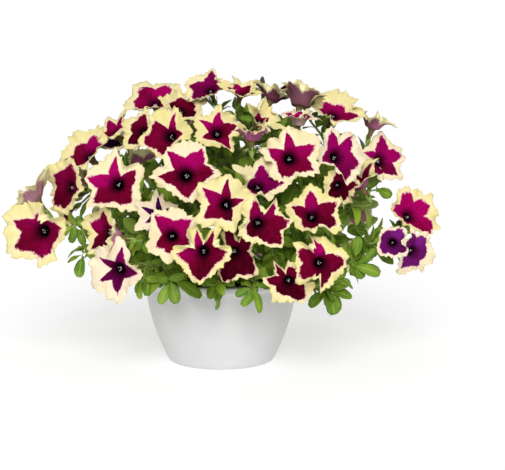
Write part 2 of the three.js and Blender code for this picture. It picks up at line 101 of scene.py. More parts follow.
def closed(points, **marks):
    """Shells through rings of points, shaped copies x rings x columns x 3.

    Each ring is joined to the next by squares, and a fan from the ring's middle closes the first and the last
    one. Faces point out: a copy whose volume comes out negative is turned round. Marks are numbers that
    go with the points.
    """
    copies, rings, columns, _ = points.shape
    fields = [points] + [np.broadcast_to(m, points.shape[:3])[..., None] for m in marks.values()]
    table = np.concatenate(fields, axis=-1)
    ends = table[:, [0, -1]].mean(axis=2)
    table = np.concatenate([table.reshape(copies, rings * columns, -1), ends], axis=1)
    ring, column = np.meshgrid(np.arange(rings - 1), np.arange(columns), indexing="ij")
    here = ring * columns + column
    beside = ring * columns + (column + 1) % columns
    squares = np.stack([here, beside, beside + columns, here + columns], axis=-1).reshape(-1, 4)
    near = np.arange(columns)
    far = (near + 1) % columns
    last = (rings - 1) * columns
    first_fan = np.stack([far, near, np.full(columns, rings * columns)], axis=-1)
    last_fan = np.stack([last + near, last + far, np.full(columns, rings * columns + 1)], axis=-1)
    fans = np.concatenate([first_fan, last_fan])
    at = table[..., :3]
    middle = at.mean(axis=1, keepdims=True)
    a, b, c, d = (at[:, squares[:, i]] - middle for i in range(4))
    volume = (a * np.cross(b, c) + a * np.cross(c, d)).sum(axis=(1, 2))
    starts = np.arange(copies)[:, None, None] * table.shape[1]
    inside_out = (volume < 0)[:, None, None]
    squares = np.where(inside_out, squares[None, :, ::-1], squares[None]) + starts
    fans = np.where(inside_out, fans[None, :, ::-1], fans[None]) + starts
    table = table.reshape(-1, table.shape[-1])
    return {
        "at": table[:, :3],
        "squares": squares.reshape(-1, 4),
        "fans": fans.reshape(-1, 3),
        "marks": {name: table[:, 3 + i] for i, name in enumerate(marks)},
    }


def shaped(name, shells, finishes):
    """One mesh object from closed shells. A shell's finish is its place in the list of finishes."""
    counts = [len(s["at"]) for s in shells]
    starts = np.concatenate([[0], np.cumsum(counts)[:-1]]).astype(int)
    at = np.concatenate([s["at"] for s in shells])
    parts = ("squares", "fans")
    squares, fans = (np.concatenate([s[p] + start for s, start in zip(shells, starts)]) for p in parts)
    finish = [np.full(len(s[p]), s.get("finish", 0)) for p in parts for s in shells]
    mesh = bpy.data.meshes.new(name)
    mesh.vertices.add(len(at))
    mesh.vertices.foreach_set("co", at.astype(np.float32).ravel())
    corners = np.concatenate([squares.ravel(), fans.ravel()])
    mesh.loops.add(len(corners))
    mesh.loops.foreach_set("vertex_index", corners.astype(np.int32))
    face_starts = np.concatenate([4 * np.arange(len(squares)), squares.size + 3 * np.arange(len(fans))])
    mesh.polygons.add(len(face_starts))
    mesh.polygons.foreach_set("loop_start", face_starts.astype(np.int32))
    mesh.polygons.foreach_set("material_index", np.concatenate(finish).astype(np.int32))
    mesh.polygons.foreach_set("use_smooth", np.ones(len(face_starts), bool))
    mesh.update(calc_edges=True)
    for mark in sorted({m for s in shells for m in s["marks"]}):
        values = np.concatenate([s["marks"].get(mark, np.zeros(len(s["at"]))) for s in shells])
        mesh.attributes.new(mark, "FLOAT", "POINT").data.foreach_set("value", values.astype(np.float32))
    for material in finishes:
        mesh.materials.append(material)
    piece = bpy.data.objects.new(name, mesh)
    bpy.context.scene.collection.objects.link(piece)
    return piece


def put(name, shells, finishes, replaces=()):
    """A piece of the object: a mesh from closed shells that rides the body and the nodes that
    it stands for."""
    piece = shaped(name, shells, finishes)
    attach(piece, "root")
    if replaces:
        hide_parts(*replaces)
    return piece


def turned(profile, columns, wobble=0.0):
    """A profile of radii and heights, one ring at each, turned round Z. wobble spreads the points' radii by
    that share."""
    radius, height = np.array(profile).T
    angle = np.arange(columns) * TURN / columns
    radius = radius[:, None] * (1 + wobble)
    flat = np.broadcast_arrays(radius * np.cos(angle), radius * np.sin(angle), height[:, None])
    return np.stack(flat, axis=-1)[None]


def tubes(lines, radii, columns):
    """Round bars along lines, shaped copies x points x 3. Each ring's first side is the last ring's, squared
    to the line's new direction, so the bars don't twist."""
    along = unit(np.gradient(lines, axis=1))
    start = np.where(np.abs(along[:, :1, :1]) > 0.8, [[[0, 1.0, 0]]], [[[1.0, 0, 0]]])
    sides = [square_to(start[:, 0], along[:, 0])]
    for i in range(1, lines.shape[1]):
        sides.append(square_to(sides[-1], along[:, i]))
    side = np.stack(sides, axis=1)
    other = np.cross(along, side)
    angle = np.arange(columns) * TURN / columns
    out = side[:, :, None] * np.cos(angle)[:, None] + other[:, :, None] * np.sin(angle)[:, None]
    return lines[:, :, None] + out * np.broadcast_to(radii, lines.shape[:2])[:, :, None, None]


# Finishes

# Each kind of shader node in use: the inputs that add() fills in turn, the output it gives back and the
# settings it starts with. A MapRange rises smoothly from 0 to 1 between its second input and its third, or
# from its fourth to its fifth.
KINDS = {
    "Attribute": ((), "Fac", {}),
    "TexCoord": ((), "Object", {}),
    "CombineXYZ": ((0, 1), 0, {}),
    "Math": ((0, 1, 2), 0, {}),
    "MapRange": (
        ("Value", "From Min", "From Max", "To Min", "To Max"),
        0,
        {"interpolation_type": "SMOOTHSTEP"},
    ),
    "Mix": ((0, 6, 7), 2, {"data_type": "RGBA"}),
    "TexNoise": (("Vector", "Scale", "Detail", "Roughness"), 0, {}),
    "TexVoronoi": (("Vector", "Scale"), 0, {}),
    "Bump": (("Height", "Strength", "Distance"), 0, {}),
}


def add(tree, kind, *inputs, **settings):
    """Adds a shader node with its settings and its inputs: numbers, hex colours or other nodes' outputs."""
    sockets, output, usual = KINDS[kind]
    made = tree.nodes.new("ShaderNode" + kind)
    for name, value in {**usual, **settings}.items():
        setattr(made, name, value)
    for socket, value in zip(sockets, inputs):
        if isinstance(value, bpy.types.NodeSocket):
            tree.links.new(value, made.inputs[socket])
        else:
            made.inputs[socket].default_value = linear(value) if isinstance(value, str) else value
    return made.outputs[output]


def blank(name):
    """A new material with one Principled shader, and its node tree."""
    material = bpy.data.materials.new(name)
    material.use_nodes = True
    return material, material.node_tree


def finished(material, **sockets):
    """The material, with the sockets of its Principled shader set to plain values or to nodes' outputs."""
    tree = material.node_tree
    shader = next(n for n in tree.nodes if n.type == "BSDF_PRINCIPLED")
    for name, value in sockets.items():
        socket = shader.inputs[name.replace("_", " ")]
        if isinstance(value, bpy.types.NodeSocket):
            tree.links.new(value, socket)
        else:
            socket.default_value = value
    return material


def petal_finish(name, painted_shade, deep, bright, blue):
    """Petunia petal: a thin matt velvety skin, so it has hardly any shine. A star of deep colour lies in a
    pale rim, its edge ragged with a thin pink line. Veins run out from a nearly black throat, and the
    back is mauve with a pale yellow rim. Light and shade are painted on by the sky mark: lobes that face
    up have a star painted lighter and more magenta, lobes that face down a star and a back painted darker."""
    material, tree = blank(name)
    marks = ("star", "reach", "edge", "lane", "back", "sky", "pale", "violet")
    marks = [add(tree, "Attribute", attribute_name=mark) for mark in marks]
    star, reach, edge, lane, side, sky, pale, violet = marks
    place = add(tree, "TexCoord")
    coarse = add(tree, "TexNoise", place, 1 / (4.5 * MM), 2.0)
    fine = add(tree, "TexNoise", place, 1 / (1.4 * MM), 1.0)
    # Veins fan out from the throat, a fraction of a millimetre apart there. They are drawn 1 to 2 mm apart.
    lanes = add(tree, "Math", lane, 22.0, operation="MULTIPLY")
    drawn_out = add(tree, "Math", reach, 0.06, operation="MULTIPLY")
    vein = add(tree, "TexNoise", add(tree, "CombineXYZ", lanes, drawn_out), 1.0, 3.0, 0.6)
    swing = add(tree, "Math", vein, 0.5, operation="SUBTRACT")
    ragged = add(tree, "Math", fine, 0.12, -0.21, operation="MULTIPLY_ADD")
    ragged = add(tree, "Math", coarse, 0.3, ragged, operation="MULTIPLY_ADD")
    ragged = add(tree, "Math", swing, 0.14, ragged, operation="MULTIPLY_ADD")
    border = add(tree, "Math", star, ragged, operation="ADD")
    # The star is painted lighter and more magenta where its lobes face up and darker where they face down,
    # a painted light and shade. It is dark along its veins, mottled a little, and nearly black in the throat.
    velvet = add(tree, "Mix", add(tree, "MapRange", sky, -0.4, 0.3), painted_shade, deep)
    velvet = add(tree, "Mix", add(tree, "MapRange", sky, 0.3, 1.1), velvet, bright)
    velvet = add(tree, "Mix", violet, velvet, blue)
    dark = add(tree, "Mix", 0.38, velvet, "#1c0010")
    velvet = add(tree, "Mix", add(tree, "MapRange", vein, 0.58, 0.34), velvet, dark)
    velvet = add(tree, "Mix", add(tree, "MapRange", coarse, 0.4, 0.7, 0.0, 0.1), velvet, bright)
    throat = add(tree, "Math", swing, 9.0, reach, operation="MULTIPLY_ADD")
    velvet = add(tree, "Mix", add(tree, "MapRange", throat, 13.0, 6.0, 0.0, 0.7), velvet, "#2c0414")
    velvet = add(tree, "Mix", add(tree, "MapRange", throat, 7.5, 4.5), velvet, "#0c0208")
    # The rim is cream, yellower outwards and in blotches, with a pink line along the star.
    rim = add(tree, "Mix", add(tree, "MapRange", border, 1.02, 1.5), "#f0e0aa", "#e6da92")
    rim = add(tree, "Mix", add(tree, "MapRange", coarse, 0.4, 0.65, 0.0, 0.4), rim, "#dcd586")
    rim = add(tree, "Mix", add(tree, "Math", pale, 0.8, operation="MULTIPLY"), rim, "#f2e0cc")
    rim = add(tree, "Mix", add(tree, "MapRange", edge, 0.93, 1.0, 0.0, 0.35), rim, "#d2ce78")
    rim = add(tree, "Mix", add(tree, "MapRange", border, 1.08, 1.0, 0.0, 0.75), rim, "#dd96ae")
    front = add(tree, "Mix", add(tree, "MapRange", border, 0.975, 1.02), velvet, rim)
    # The back: a brownish tube with green veins, mauve under the star, pale yellow at the rim. Under the star
    # it is painted a darker mauve where the lobes face down, a painted shade.
    tube = add(tree, "Mix", add(tree, "MapRange", vein, 0.42, 0.6), "#6b4a44", "#8a8048")
    under = add(tree, "Mix", add(tree, "MapRange", vein, 0.38, 0.62), "#80305c", "#b0648f")
    under = add(tree, "Mix", add(tree, "MapRange", sky, 0.4, -0.5), under, "#5a0f3a")
    under = add(tree, "Mix", add(tree, "Math", pale, 0.75, operation="MULTIPLY"), under, "#d0b4ae")
    under = add(tree, "Mix", add(tree, "MapRange", reach, 5.0, 11.0), tube, under)
    back = add(tree, "Mix", add(tree, "MapRange", border, 0.9, 1.12), under, "#f0e8b4")
    colour = add(tree, "Mix", add(tree, "MapRange", side, 0.4, 0.6), front, back)
    relief = add(tree, "Math", fine, 0.35, vein, operation="MULTIPLY_ADD")
    bump = add(tree, "Bump", relief, 0.2, 0.4 * MM)
    return finished(material, Base_Color=colour, Normal=bump, Roughness=0.8, IOR=1.4, Specular_IOR_Level=0.03)


def leaf_finish():
    """Petunia leaf: a soft green blade, downy, so it hardly shines. A pale midrib and side veins show on it,
    young leaves are yellower, and the underside is paler."""
    material, tree = blank("leaf_blade")
    marks = ("across", "along", "age", "back")
    across, along, age, back = (add(tree, "Attribute", attribute_name=mark) for mark in marks)
    place = add(tree, "TexCoord")
    green = add(tree, "Mix", age, "#87a52c", "#4c7814")
    blotch = add(tree, "TexNoise", place, 1 / (9 * MM), 2.0)
    paler = add(tree, "Mix", 0.35, green, "#9cb43c")
    green = add(tree, "Mix", add(tree, "MapRange", blotch, 0.4, 0.7), green, paler)
    # Seven pairs of side veins slant forward from the midrib.
    spread = add(tree, "Math", across, operation="ABSOLUTE")
    rib = add(tree, "MapRange", spread, 0.16, 0.03)
    slant = add(tree, "Math", spread, -0.18, along, operation="MULTIPLY_ADD")
    wave = add(tree, "Math", add(tree, "Math", slant, 7.0, operation="MULTIPLY"), operation="FRACT")
    off_vein = add(tree, "Math", add(tree, "Math", wave, 0.5, operation="SUBTRACT"), operation="ABSOLUTE")
    side_vein = add(tree, "MapRange", off_vein, 0.1, 0.0, 0.0, 0.45)
    veins = add(tree, "Math", rib, side_vein, operation="MAXIMUM")
    green = add(tree, "Mix", add(tree, "Math", veins, 0.5, operation="MULTIPLY"), green, "#a9bd50")
    green = add(tree, "Mix", add(tree, "Math", back, 0.5, operation="MULTIPLY"), green, "#8ea250")
    down = add(tree, "TexNoise", place, 1 / (0.8 * MM), 1.0)
    sunk = add(tree, "Math", veins, -0.8, operation="MULTIPLY")
    bump = add(tree, "Bump", add(tree, "Math", down, 0.5, sunk, operation="MULTIPLY_ADD"), 0.5, 0.4 * MM)
    return finished(material, Base_Color=green, Normal=bump, Roughness=0.5, IOR=1.42, Specular_IOR_Level=0.35)


def stem_finish():
    """Petunia stem: round, green and sticky with short hairs, and straw-brown where it is old."""
    material, tree = blank("hairy_stem")
    place = add(tree, "TexCoord")
    streak = add(tree, "TexNoise", place, 1 / (3 * MM), 2.0)
    green = add(tree, "Mix", add(tree, "MapRange", streak, 0.35, 0.7), "#6d8f3a", "#93a958")
    colour = add(tree, "Mix", add(tree, "Attribute", attribute_name="age"), green, "#8d7f4c")
    hair = add(tree, "TexNoise", place, 1 / (0.6 * MM), 1.0)
    bump = add(tree, "Bump", hair, 0.6, 0.3 * MM)
    return finished(material, Base_Color=colour, Normal=bump, Roughness=0.6, IOR=1.42)


def bud_finish():
    """Furled petunia bud: closed petals twisted into a matt purple-brown club that is green at its foot."""
    material, tree = blank("furled_bud")
    along = add(tree, "Attribute", attribute_name="along")
    mottle = add(tree, "TexNoise", add(tree, "TexCoord"), 1 / (1.5 * MM), 2.0)
    dark = add(tree, "Mix", add(tree, "MapRange", mottle, 0.35, 0.65), "#3c2a24", "#5a4136")
    colour = add(tree, "Mix", add(tree, "MapRange", along, 0.55, 0.15), dark, "#76803f")
    return finished(material, Base_Color=colour, Roughness=0.6, IOR=1.4, Sheen_Weight=0.2)


def anther_finish():
    """Ripe anthers: small split sacs, dusty with grey-violet pollen."""
    material, tree = blank("anther_dust")
    speck = add(tree, "TexNoise", add(tree, "TexCoord"), 1 / (0.5 * MM), 2.0)
    return finished(material, Base_Color=add(tree, "Mix", speck, "#8d8a96", "#f2f0f2"), Roughness=0.9)


def pot_finish():
    """White polypropylene, injection-moulded: a satin skin with a soft shine, a little uneven."""
    material, tree = blank("white_polypropylene")
    place = add(tree, "TexCoord")
    colour = add(tree, "Mix", add(tree, "TexNoise", place, 1 / (30 * MM), 2.0), "#d0d0d2", "#d9d9d8")
    cloud = add(tree, "TexNoise", place, 1 / (6 * MM), 2.0)
    gloss = add(tree, "MapRange", cloud, 0.0, 1.0, 0.32, 0.44, interpolation_type="LINEAR")
    bump = add(tree, "Bump", add(tree, "TexNoise", place, 1 / (1.2 * MM), 1.0), 0.06, 0.2 * MM)
    return finished(material, Base_Color=colour, Normal=bump, Roughness=gloss, IOR=1.49)


def mix_finish():
    """Peat potting mix: dark, damp and crumbly, with paler fibres."""
    material, tree = blank("peat_mix")
    place = add(tree, "TexCoord")
    crumbs = add(tree, "TexVoronoi", place, 1 / (2.5 * MM))
    fibre = add(tree, "TexNoise", place, 1 / (1.5 * MM), 2.0)
    colour = add(tree, "Mix", add(tree, "MapRange", crumbs, 0.1, 0.7), "#1c130d", "#4a3524")
    colour = add(tree, "Mix", add(tree, "MapRange", fibre, 0.6, 0.75), colour, "#6f5539")
    bump = add(tree, "Bump", crumbs, 0.9, 1.5 * MM)
    return finished(material, Base_Color=colour, Normal=bump, Roughness=0.95)


def chip_finish(name, dark, light):
    """A crumb on the mix, such as shredded bark or expanded perlite, rough and mottled."""
    material, tree = blank(name)
    mottle = add(tree, "TexNoise", add(tree, "TexCoord"), 1 / (1.2 * MM), 2.0)
    colour = add(tree, "Mix", add(tree, "MapRange", mottle, 0.3, 0.7), dark, light)
    bump = add(tree, "Bump", mottle, 0.8, 0.6 * MM)
    return finished(material, Base_Color=colour, Normal=bump, Roughness=0.85)


# Blooms


def bloom_frame(node):
    """Where a packed bloom is. Its axis is the odd one out of its corners' three main directions, its foot is
    the end farther from their middle, and its lobes point to the corners farthest from the axis."""
    mesh = frame["nodes"][node].data
    at = np.zeros(3 * len(mesh.vertices))
    mesh.vertices.foreach_get("co", at)
    at = np.unique(at.reshape(-1, 3).round(6), axis=0)
    middle = at.mean(axis=0)
    spreads, directions = np.linalg.eigh(np.cov((at - middle).T))
    odd = 0 if spreads[1] - spreads[0] > spreads[2] - spreads[1] else 2
    face = directions[:, odd]
    height = (at - middle) @ face
    if height.max() > -height.min():
        face, height = -face, -height
    out = at - middle - np.outer(height, face)
    radius = np.linalg.norm(out, axis=1)
    size = 2 * radius.max() / (BLOOM["across"] * MM)
    foot = middle + face * height.min()
    lobes = unit(out[radius > 0.995 * radius.max()])
    up = lobes[np.argmax(lobes @ UP)]
    spot = foot + face * BLOOM["tube"] * size * MM
    return {"spot": spot, "face": face, "up": up, "size": size, "node": node}


def loose(spot, face, size):
    """A bloom that no node stands for, its first lobe up."""
    return {"spot": spot, "face": face, "up": square_to(UP, face), "size": size, "node": None}


# Four blooms that peep out between those of the photograph: which bloom they stand by, by its number, how
# far to its right, above it and behind it, in mm, the way they face and how wide they are.
PEEPING = (
    {"by": 15, "right": 3, "up": -14, "behind": 8, "yaw": -20, "pitch": 62, "across": 44},
    {"by": 17, "right": 18, "up": 2, "behind": 32, "yaw": -104, "pitch": 12, "across": 40},
    {"by": 17, "right": -2, "up": -28, "behind": 22, "yaw": -50, "pitch": -30, "across": 36},
    {"by": 36, "right": 15, "up": -5, "behind": -18, "yaw": -98, "pitch": 8, "across": 36},
)


def peeping_blooms(known):
    """The blooms of PEEPING. One that faces the viewer has yaw and pitch 0, and they turn it to its left and
    up."""
    found = []
    for one in PEEPING:
        near = known[one["by"] - 1]
        shift = one["right"] * SCREEN_RIGHT + one["up"] * SCREEN_UP + one["behind"] * FORWARD
        yaw, pitch = math.radians(one["yaw"]), math.radians(one["pitch"])
        ahead = math.cos(yaw) * -FORWARD + math.sin(yaw) * SCREEN_RIGHT
        face = unit(math.cos(pitch) * ahead + math.sin(pitch) * SCREEN_UP)
        found.append(loose(near["spot"] + shift * MM, face, one["across"] / BLOOM["across"]))
    return found


def spiral(count, low):
    """Directions spread evenly over a ball down to a height of low: equal steps down and golden turns."""
    i = np.arange(count)
    golden = math.pi * (3 - math.sqrt(5))
    height = 1 - (1 - low) * (i + 0.5) / count
    flat = np.sqrt(1 - height**2)
    return np.stack([flat * np.cos(i * golden), flat * np.sin(i * golden), height], axis=-1)


def extra_blooms(known):
    """Blooms for the back, sides and top that have no node: spots spiral evenly over the dome, and one is
    taken where the photograph's view doesn't reach and no bloom is near."""
    count, gap, low, shown = 420, 52 * MM, -0.2, 0.74
    out = spiral(count, -1)
    height = out @ UP
    spots = DOME["middle"] + out * DOME["reach"]
    seen = np.hypot(out @ SCREEN_RIGHT, out @ SCREEN_UP)
    hidden = (out @ FORWARD > 0.1) & (seen < shown) & (height > low)
    taken = [b["spot"] for b in known]
    found = []
    for spot, direction in zip(spots[hidden], out[hidden]):
        if min(np.linalg.norm(spot - other) for other in taken) < gap:
            continue
        taken.append(spot)
        size = np.random.default_rng(SEEDS["more_blooms"] + len(found)).uniform(0.86, 1.0)
        found.append(loose(spot, unit(direction + 0.25 * UP), size))
    return found


# What sets a bloom of the photograph apart, by its number. Its five lobes go clockwise from the top one, as
# seen from the front: lobes gives their angles in degrees, arms and dips the star's points and the hollows
# after them, rim and notches the same of the outline, as shares of the bloom's radius. full makes the star's
# sides bulge by that share. curl winds a lobe's tip towards the viewer and fold its two edges, in degrees.
# hinge is where the curl begins, in mm from the axis. cup raises the limb into a funnel, in degrees. Each of
# the rolls winds the margin inwards: its angle, half its width and its turn in degrees, and the length wound
# in mm. glow paints light and shade on the whole bloom, and partly its own tone: raised, the star is painted
# a brighter magenta; lowered, the star and the back are painted darker, as for a bloom in shade. pale makes
# the rim and the back whiter, violet the star bluer. What isn't given is left to chance.
LOOKS = {
    1: {
        "full": 0.12,
        "lobes": (-2, 70, 108, 208, 268),
        "arms": (0.8, 0.6, 0.95, 0.95, 0.86),
        "dips": (0.42, 0.5, 0.6, 0.7, 0.52),
        "rim": (0.92, 0.95, 1.1, 1.15, 1.1),
        "notches": (0.6, 0.85, 0.85, 1.0, 0.9),
        "cup": 8,
        "rolls": ((32, 14, 120, 10), (175, 44, 80, 8)),
        "violet": 0.3,
    },
    2: {"cup": 22, "arms": (0.6, 0.7, 0.75, 0.75, 0.7), "rim": (1.05, 1.0, 1.1, 1.0, 1.1), "glow": -0.3},
    3: {"cup": 38, "hinge": 11, "curl": (-35, -40, -20, -30, -45), "glow": -1.0},
    4: {
        "cup": 54,
        "hinge": 10,
        "curl": (-40, -50, -20, -35, -50),
        "rim": (0.78, 0.72, 0.76, 0.76, 0.8),
        "glow": -1.0,
    },
    5: {
        "lobes": (-20, 70, 140, 215, 278),
        "arms": (0.55, 0.5, 0.9, 0.75, 0.75),
        "dips": (0.4, 0.42, 0.6, 0.55, 0.45),
        "rim": (0.95, 1.0, 1.2, 1.0, 1.1),
        "notches": (0.9, 0.95, 0.85, 0.8, 0.85),
        "cup": 20,
        "curl": (-30, 0, 0, 0, 0),
        "glow": 0.3,
    },
    6: {"cup": 42, "hinge": 10, "curl": (-30, -40, -40, -55, -60), "rim": (0.9, 0.8, 0.85, 0.85, 1.05)},
    7: {
        "cup": 34,
        "arms": (0.45, 0.5, 0.4, 0.42, 0.5),
        "dips": (0.3, 0.32, 0.3, 0.3, 0.3),
        "rim": (1.15, 1.1, 1.1, 1.15, 1.2),
        "rolls": ((330, 50, 100, 12), (200, 30, 120, 12), (70, 24, 80, 10)),
        "glow": -0.3,
    },
    8: {
        "cup": 52,
        "hinge": 9,
        "curl": (-65, -55, -50, -60, -70),
        "rim": (0.82, 0.78, 0.8, 0.8, 0.84),
        "glow": 0.4,
    },
    9: {
        "cup": 54,
        "hinge": 9,
        "curl": (-50, -40, -60, -50, -45),
        "rim": (0.7, 0.74, 0.72, 0.7, 0.74),
        "pale": 1.0,
    },
    10: {
        "full": 0.15,
        "lobes": (5, 80, 150, 225, 290),
        "arms": (0.74, 0.72, 0.85, 0.72, 0.76),
        "dips": (0.6, 0.62, 0.6, 0.6, 0.6),
        "rim": (1.05, 1.1, 1.1, 1.15, 1.1),
        "notches": (0.95, 0.95, 0.85, 0.95, 0.95),
        "cup": 8,
        "rolls": ((160, 44, 90, 9),),
        "glow": 0.1,
    },
    11: {"cup": 15, "arms": (0.6, 0.6, 0.75, 0.6, 0.6), "rim": (1.1, 1.1, 1.15, 1.1, 1.1), "glow": -0.8},
    12: {
        "lobes": (-9, 69, 171, 226, 296),
        "arms": (0.76, 0.52, 0.78, 0.88, 0.72),
        "dips": (0.3, 0.27, 0.65, 0.67, 0.26),
        "rim": (0.97, 0.9, 0.95, 1.05, 0.95),
        "notches": (0.72, 0.6, 0.75, 0.9, 0.9),
        "rolls": ((120, 40, 60, 12),),
        "glow": -0.1,
    },
    13: {
        "lobes": (-12, 57, 133, 232, 294),
        "arms": (0.72, 0.79, 0.8, 0.63, 0.87),
        "dips": (0.42, 0.42, 0.3, 0.3, 0.38),
        "rim": (0.98, 1.0, 1.05, 0.95, 1.08),
        "notches": (0.78, 0.72, 0.62, 0.75, 0.72),
    },
    14: {"arms": (0.75, 0.5, 0.6, 0.75, 0.6), "rim": (1.1, 0.9, 1.0, 1.1, 1.15), "glow": -0.8},
    15: {"cup": 12, "rim": (1.1, 1.0, 1.05, 1.0, 1.1)},
    16: {
        "arms": (0.72, 0.8, 0.7, 0.9, 0.6),
        "dips": (0.6, 0.5, 0.6, 0.55, 0.5),
        "rim": (1.05, 1.08, 1.0, 1.15, 1.15),
        "notches": (0.9, 0.85, 0.85, 0.95, 0.95),
        "cup": 15,
    },
    17: {
        "lobes": (20, 90, 160, 220, 300),
        "arms": (0.9, 0.75, 0.8, 0.85, 0.7),
        "dips": (0.6, 0.6, 0.7, 0.6, 0.6),
        "rim": (1.05, 1.0, 1.05, 1.0, 1.15),
        "notches": (0.9, 0.85, 0.9, 0.9, 0.95),
        "rolls": ((190, 20, 60, 8),),
        "glow": -0.3,
    },
    18: {
        "cup": 24,
        "hinge": 13,
        "curl": (-20, -25, -15, -20, -25),
        "rim": (1.15, 1.1, 1.15, 1.1, 1.15),
        "pale": 0.5,
    },
    19: {
        "lobes": (1, 82, 167, 236, 291),
        "arms": (0.52, 0.75, 0.76, 0.88, 0.8),
        "dips": (0.36, 0.6, 0.6, 0.57, 0.4),
        "rim": (0.82, 0.98, 1.04, 1.24, 1.12),
        "notches": (0.98, 0.82, 0.82, 1.0, 0.92),
        "rolls": ((42, 27, 180, 20),),
        "curl": (0, 0, 0, 0, 0),
        "fold": (0, 0, 0, 0, 0),
    },
    20: {
        "lobes": (-6, 52, 142, 227, 280),
        "arms": (0.88, 0.79, 0.77, 0.9, 0.94),
        "dips": (0.28, 0.5, 0.54, 0.6, 0.4),
        "rim": (1.08, 1.06, 1.1, 1.12, 1.07),
        "notches": (0.64, 0.74, 0.68, 0.84, 0.88),
        "pale": 0.6,
        "glow": 0.1,
    },
    21: {
        "lobes": (1, 55, 139, 236, 290),
        "arms": (0.89, 0.82, 0.66, 0.76, 0.88),
        "dips": (0.62, 0.42, 0.42, 0.34, 0.5),
        "rim": (1.04, 0.98, 0.88, 0.98, 1.04),
        "notches": (0.74, 0.66, 0.62, 0.66, 0.94),
        "pale": 0.7,
    },
    22: {
        "lobes": (-7, 68, 151, 228, 296),
        "arms": (0.76, 0.62, 0.56, 0.82, 0.9),
        "dips": (0.26, 0.22, 0.46, 0.52, 0.36),
        "rim": (0.98, 0.95, 0.95, 1.1, 1.1),
        "notches": (0.76, 0.58, 0.82, 0.8, 0.84),
        "glow": -0.1,
    },
    23: {
        "lobes": (1, 72, 127, 208, 301),
        "arms": (0.88, 0.9, 0.83, 0.72, 0.76),
        "dips": (0.4, 0.54, 0.5, 0.45, 0.3),
        "rim": (1.03, 1.09, 1.08, 0.98, 1.02),
        "notches": (0.9, 0.84, 0.66, 0.74, 0.64),
        "pale": 0.6,
        "glow": 0.15,
    },
    24: {
        "lobes": (-2, 50, 113, 176, 262),
        "arms": (0.92, 0.96, 0.93, 0.9, 0.68),
        "dips": (0.4, 0.55, 0.7, 0.25, 0.45),
        "rim": (1.07, 1.1, 1.1, 1.08, 0.85),
        "notches": (0.68, 0.95, 0.92, 0.36, 0.76),
        "fold": (20, 10, 0, -10, 10),
        "pale": 0.9,
        "violet": 0.25,
        "glow": 0.15,
    },
    25: {
        "lobes": (-15, 85, 155, 235, 290),
        "arms": (0.9, 0.85, 0.78, 0.65, 0.45),
        "dips": (0.45, 0.5, 0.45, 0.4, 0.42),
        "rim": (1.05, 1.0, 1.0, 0.95, 0.85),
        "notches": (0.7, 0.75, 0.7, 0.7, 0.75),
        "rolls": ((185, 26, 150, 17), (130, 16, 130, 12)),
        "glow": -0.6,
    },
    26: {
        "lobes": (6, 82, 135, 224, 294),
        "arms": (0.9, 1.0, 0.87, 0.72, 0.9),
        "dips": (0.55, 0.48, 0.46, 0.28, 0.4),
        "rim": (1.08, 1.12, 1.06, 0.88, 1.06),
        "notches": (0.86, 0.82, 0.7, 0.76, 0.72),
        "pale": 0.7,
        "violet": 0.2,
        "glow": 0.2,
    },
    27: {
        "lobes": (10, 100, 165, 230, 300),
        "arms": (0.76, 0.9, 0.6, 0.5, 0.4),
        "dips": (0.5, 0.5, 0.45, 0.35, 0.32),
        "rim": (1.0, 1.1, 0.9, 0.8, 1.1),
        "notches": (0.8, 0.8, 0.75, 0.6, 0.7),
        "cup": 15,
        "rolls": ((265, 34, 150, 18), (180, 22, 80, 10)),
        "violet": 0.4,
        "glow": 0.3,
        "pale": 0.6,
    },
    28: {
        "full": 0.14,
        "lobes": (-13, 35, 84, 137, 235),
        "arms": (0.84, 0.88, 0.97, 0.97, 0.5),
        "dips": (0.4, 0.58, 0.72, 0.42, 0.3),
        "rim": (1.02, 1.04, 1.08, 1.1, 0.75),
        "notches": (1.02, 0.8, 0.88, 0.62, 0.8),
        "curl": (0, 10, 0, -10, -30),
        "rolls": ((13, 25, 185, 20), (285, 24, 130, 13)),
        "glow": -0.1,
    },
    29: {
        "full": 0.14,
        "lobes": (4, 74, 133, 222, 293),
        "arms": (0.85, 0.92, 0.87, 0.7, 0.82),
        "dips": (0.42, 0.62, 0.48, 0.4, 0.4),
        "rim": (1.05, 1.08, 1.12, 0.95, 1.05),
        "notches": (0.85, 0.85, 0.7, 0.75, 0.75),
        "rolls": ((165, 22, 110, 12),),
        "glow": -0.2,
    },
    30: {
        "lobes": (17, 80, 147, 198, 285),
        "arms": (0.88, 0.72, 0.6, 0.65, 0.92),
        "dips": (0.5, 0.46, 0.5, 0.33, 0.52),
        "rim": (1.05, 0.95, 0.9, 0.9, 1.05),
        "notches": (0.85, 0.75, 0.78, 0.7, 0.95),
        "pale": 0.7,
    },
    31: {
        "arms": (0.72, 0.66, 0.6, 0.66, 0.74),
        "dips": (0.25, 0.3, 0.3, 0.28, 0.22),
        "pale": 1.0,
        "violet": 1.0,
    },
    32: {
        "full": 0.07,
        "lobes": (0, 42, 104, 202, 283),
        "arms": (0.78, 0.84, 0.78, 0.94, 0.82),
        "dips": (0.2, 0.36, 0.56, 0.62, 0.34),
        "rim": (0.95, 1.0, 1.0, 1.04, 1.0),
        "notches": (0.44, 0.9, 0.74, 0.85, 0.9),
        "fold": (60, 60, 0, 0, 0),
        "rolls": ((320, 24, 185, 17), (72, 22, 185, 17), (21, 12, 120, 10)),
    },
    33: {
        "full": 0.12,
        "lobes": (-18, 38, 142, 220, 285),
        "arms": (0.96, 0.94, 0.93, 1.12, 0.6),
        "dips": (0.42, 0.4, 0.72, 0.5, 0.42),
        "rim": (1.08, 1.04, 1.06, 1.2, 0.85),
        "notches": (0.66, 0.52, 0.88, 0.7, 0.92),
        "rolls": ((308, 28, 180, 17), (10, 14, 120, 10)),
        "glow": -0.7,
    },
    34: {
        "full": 0.18,
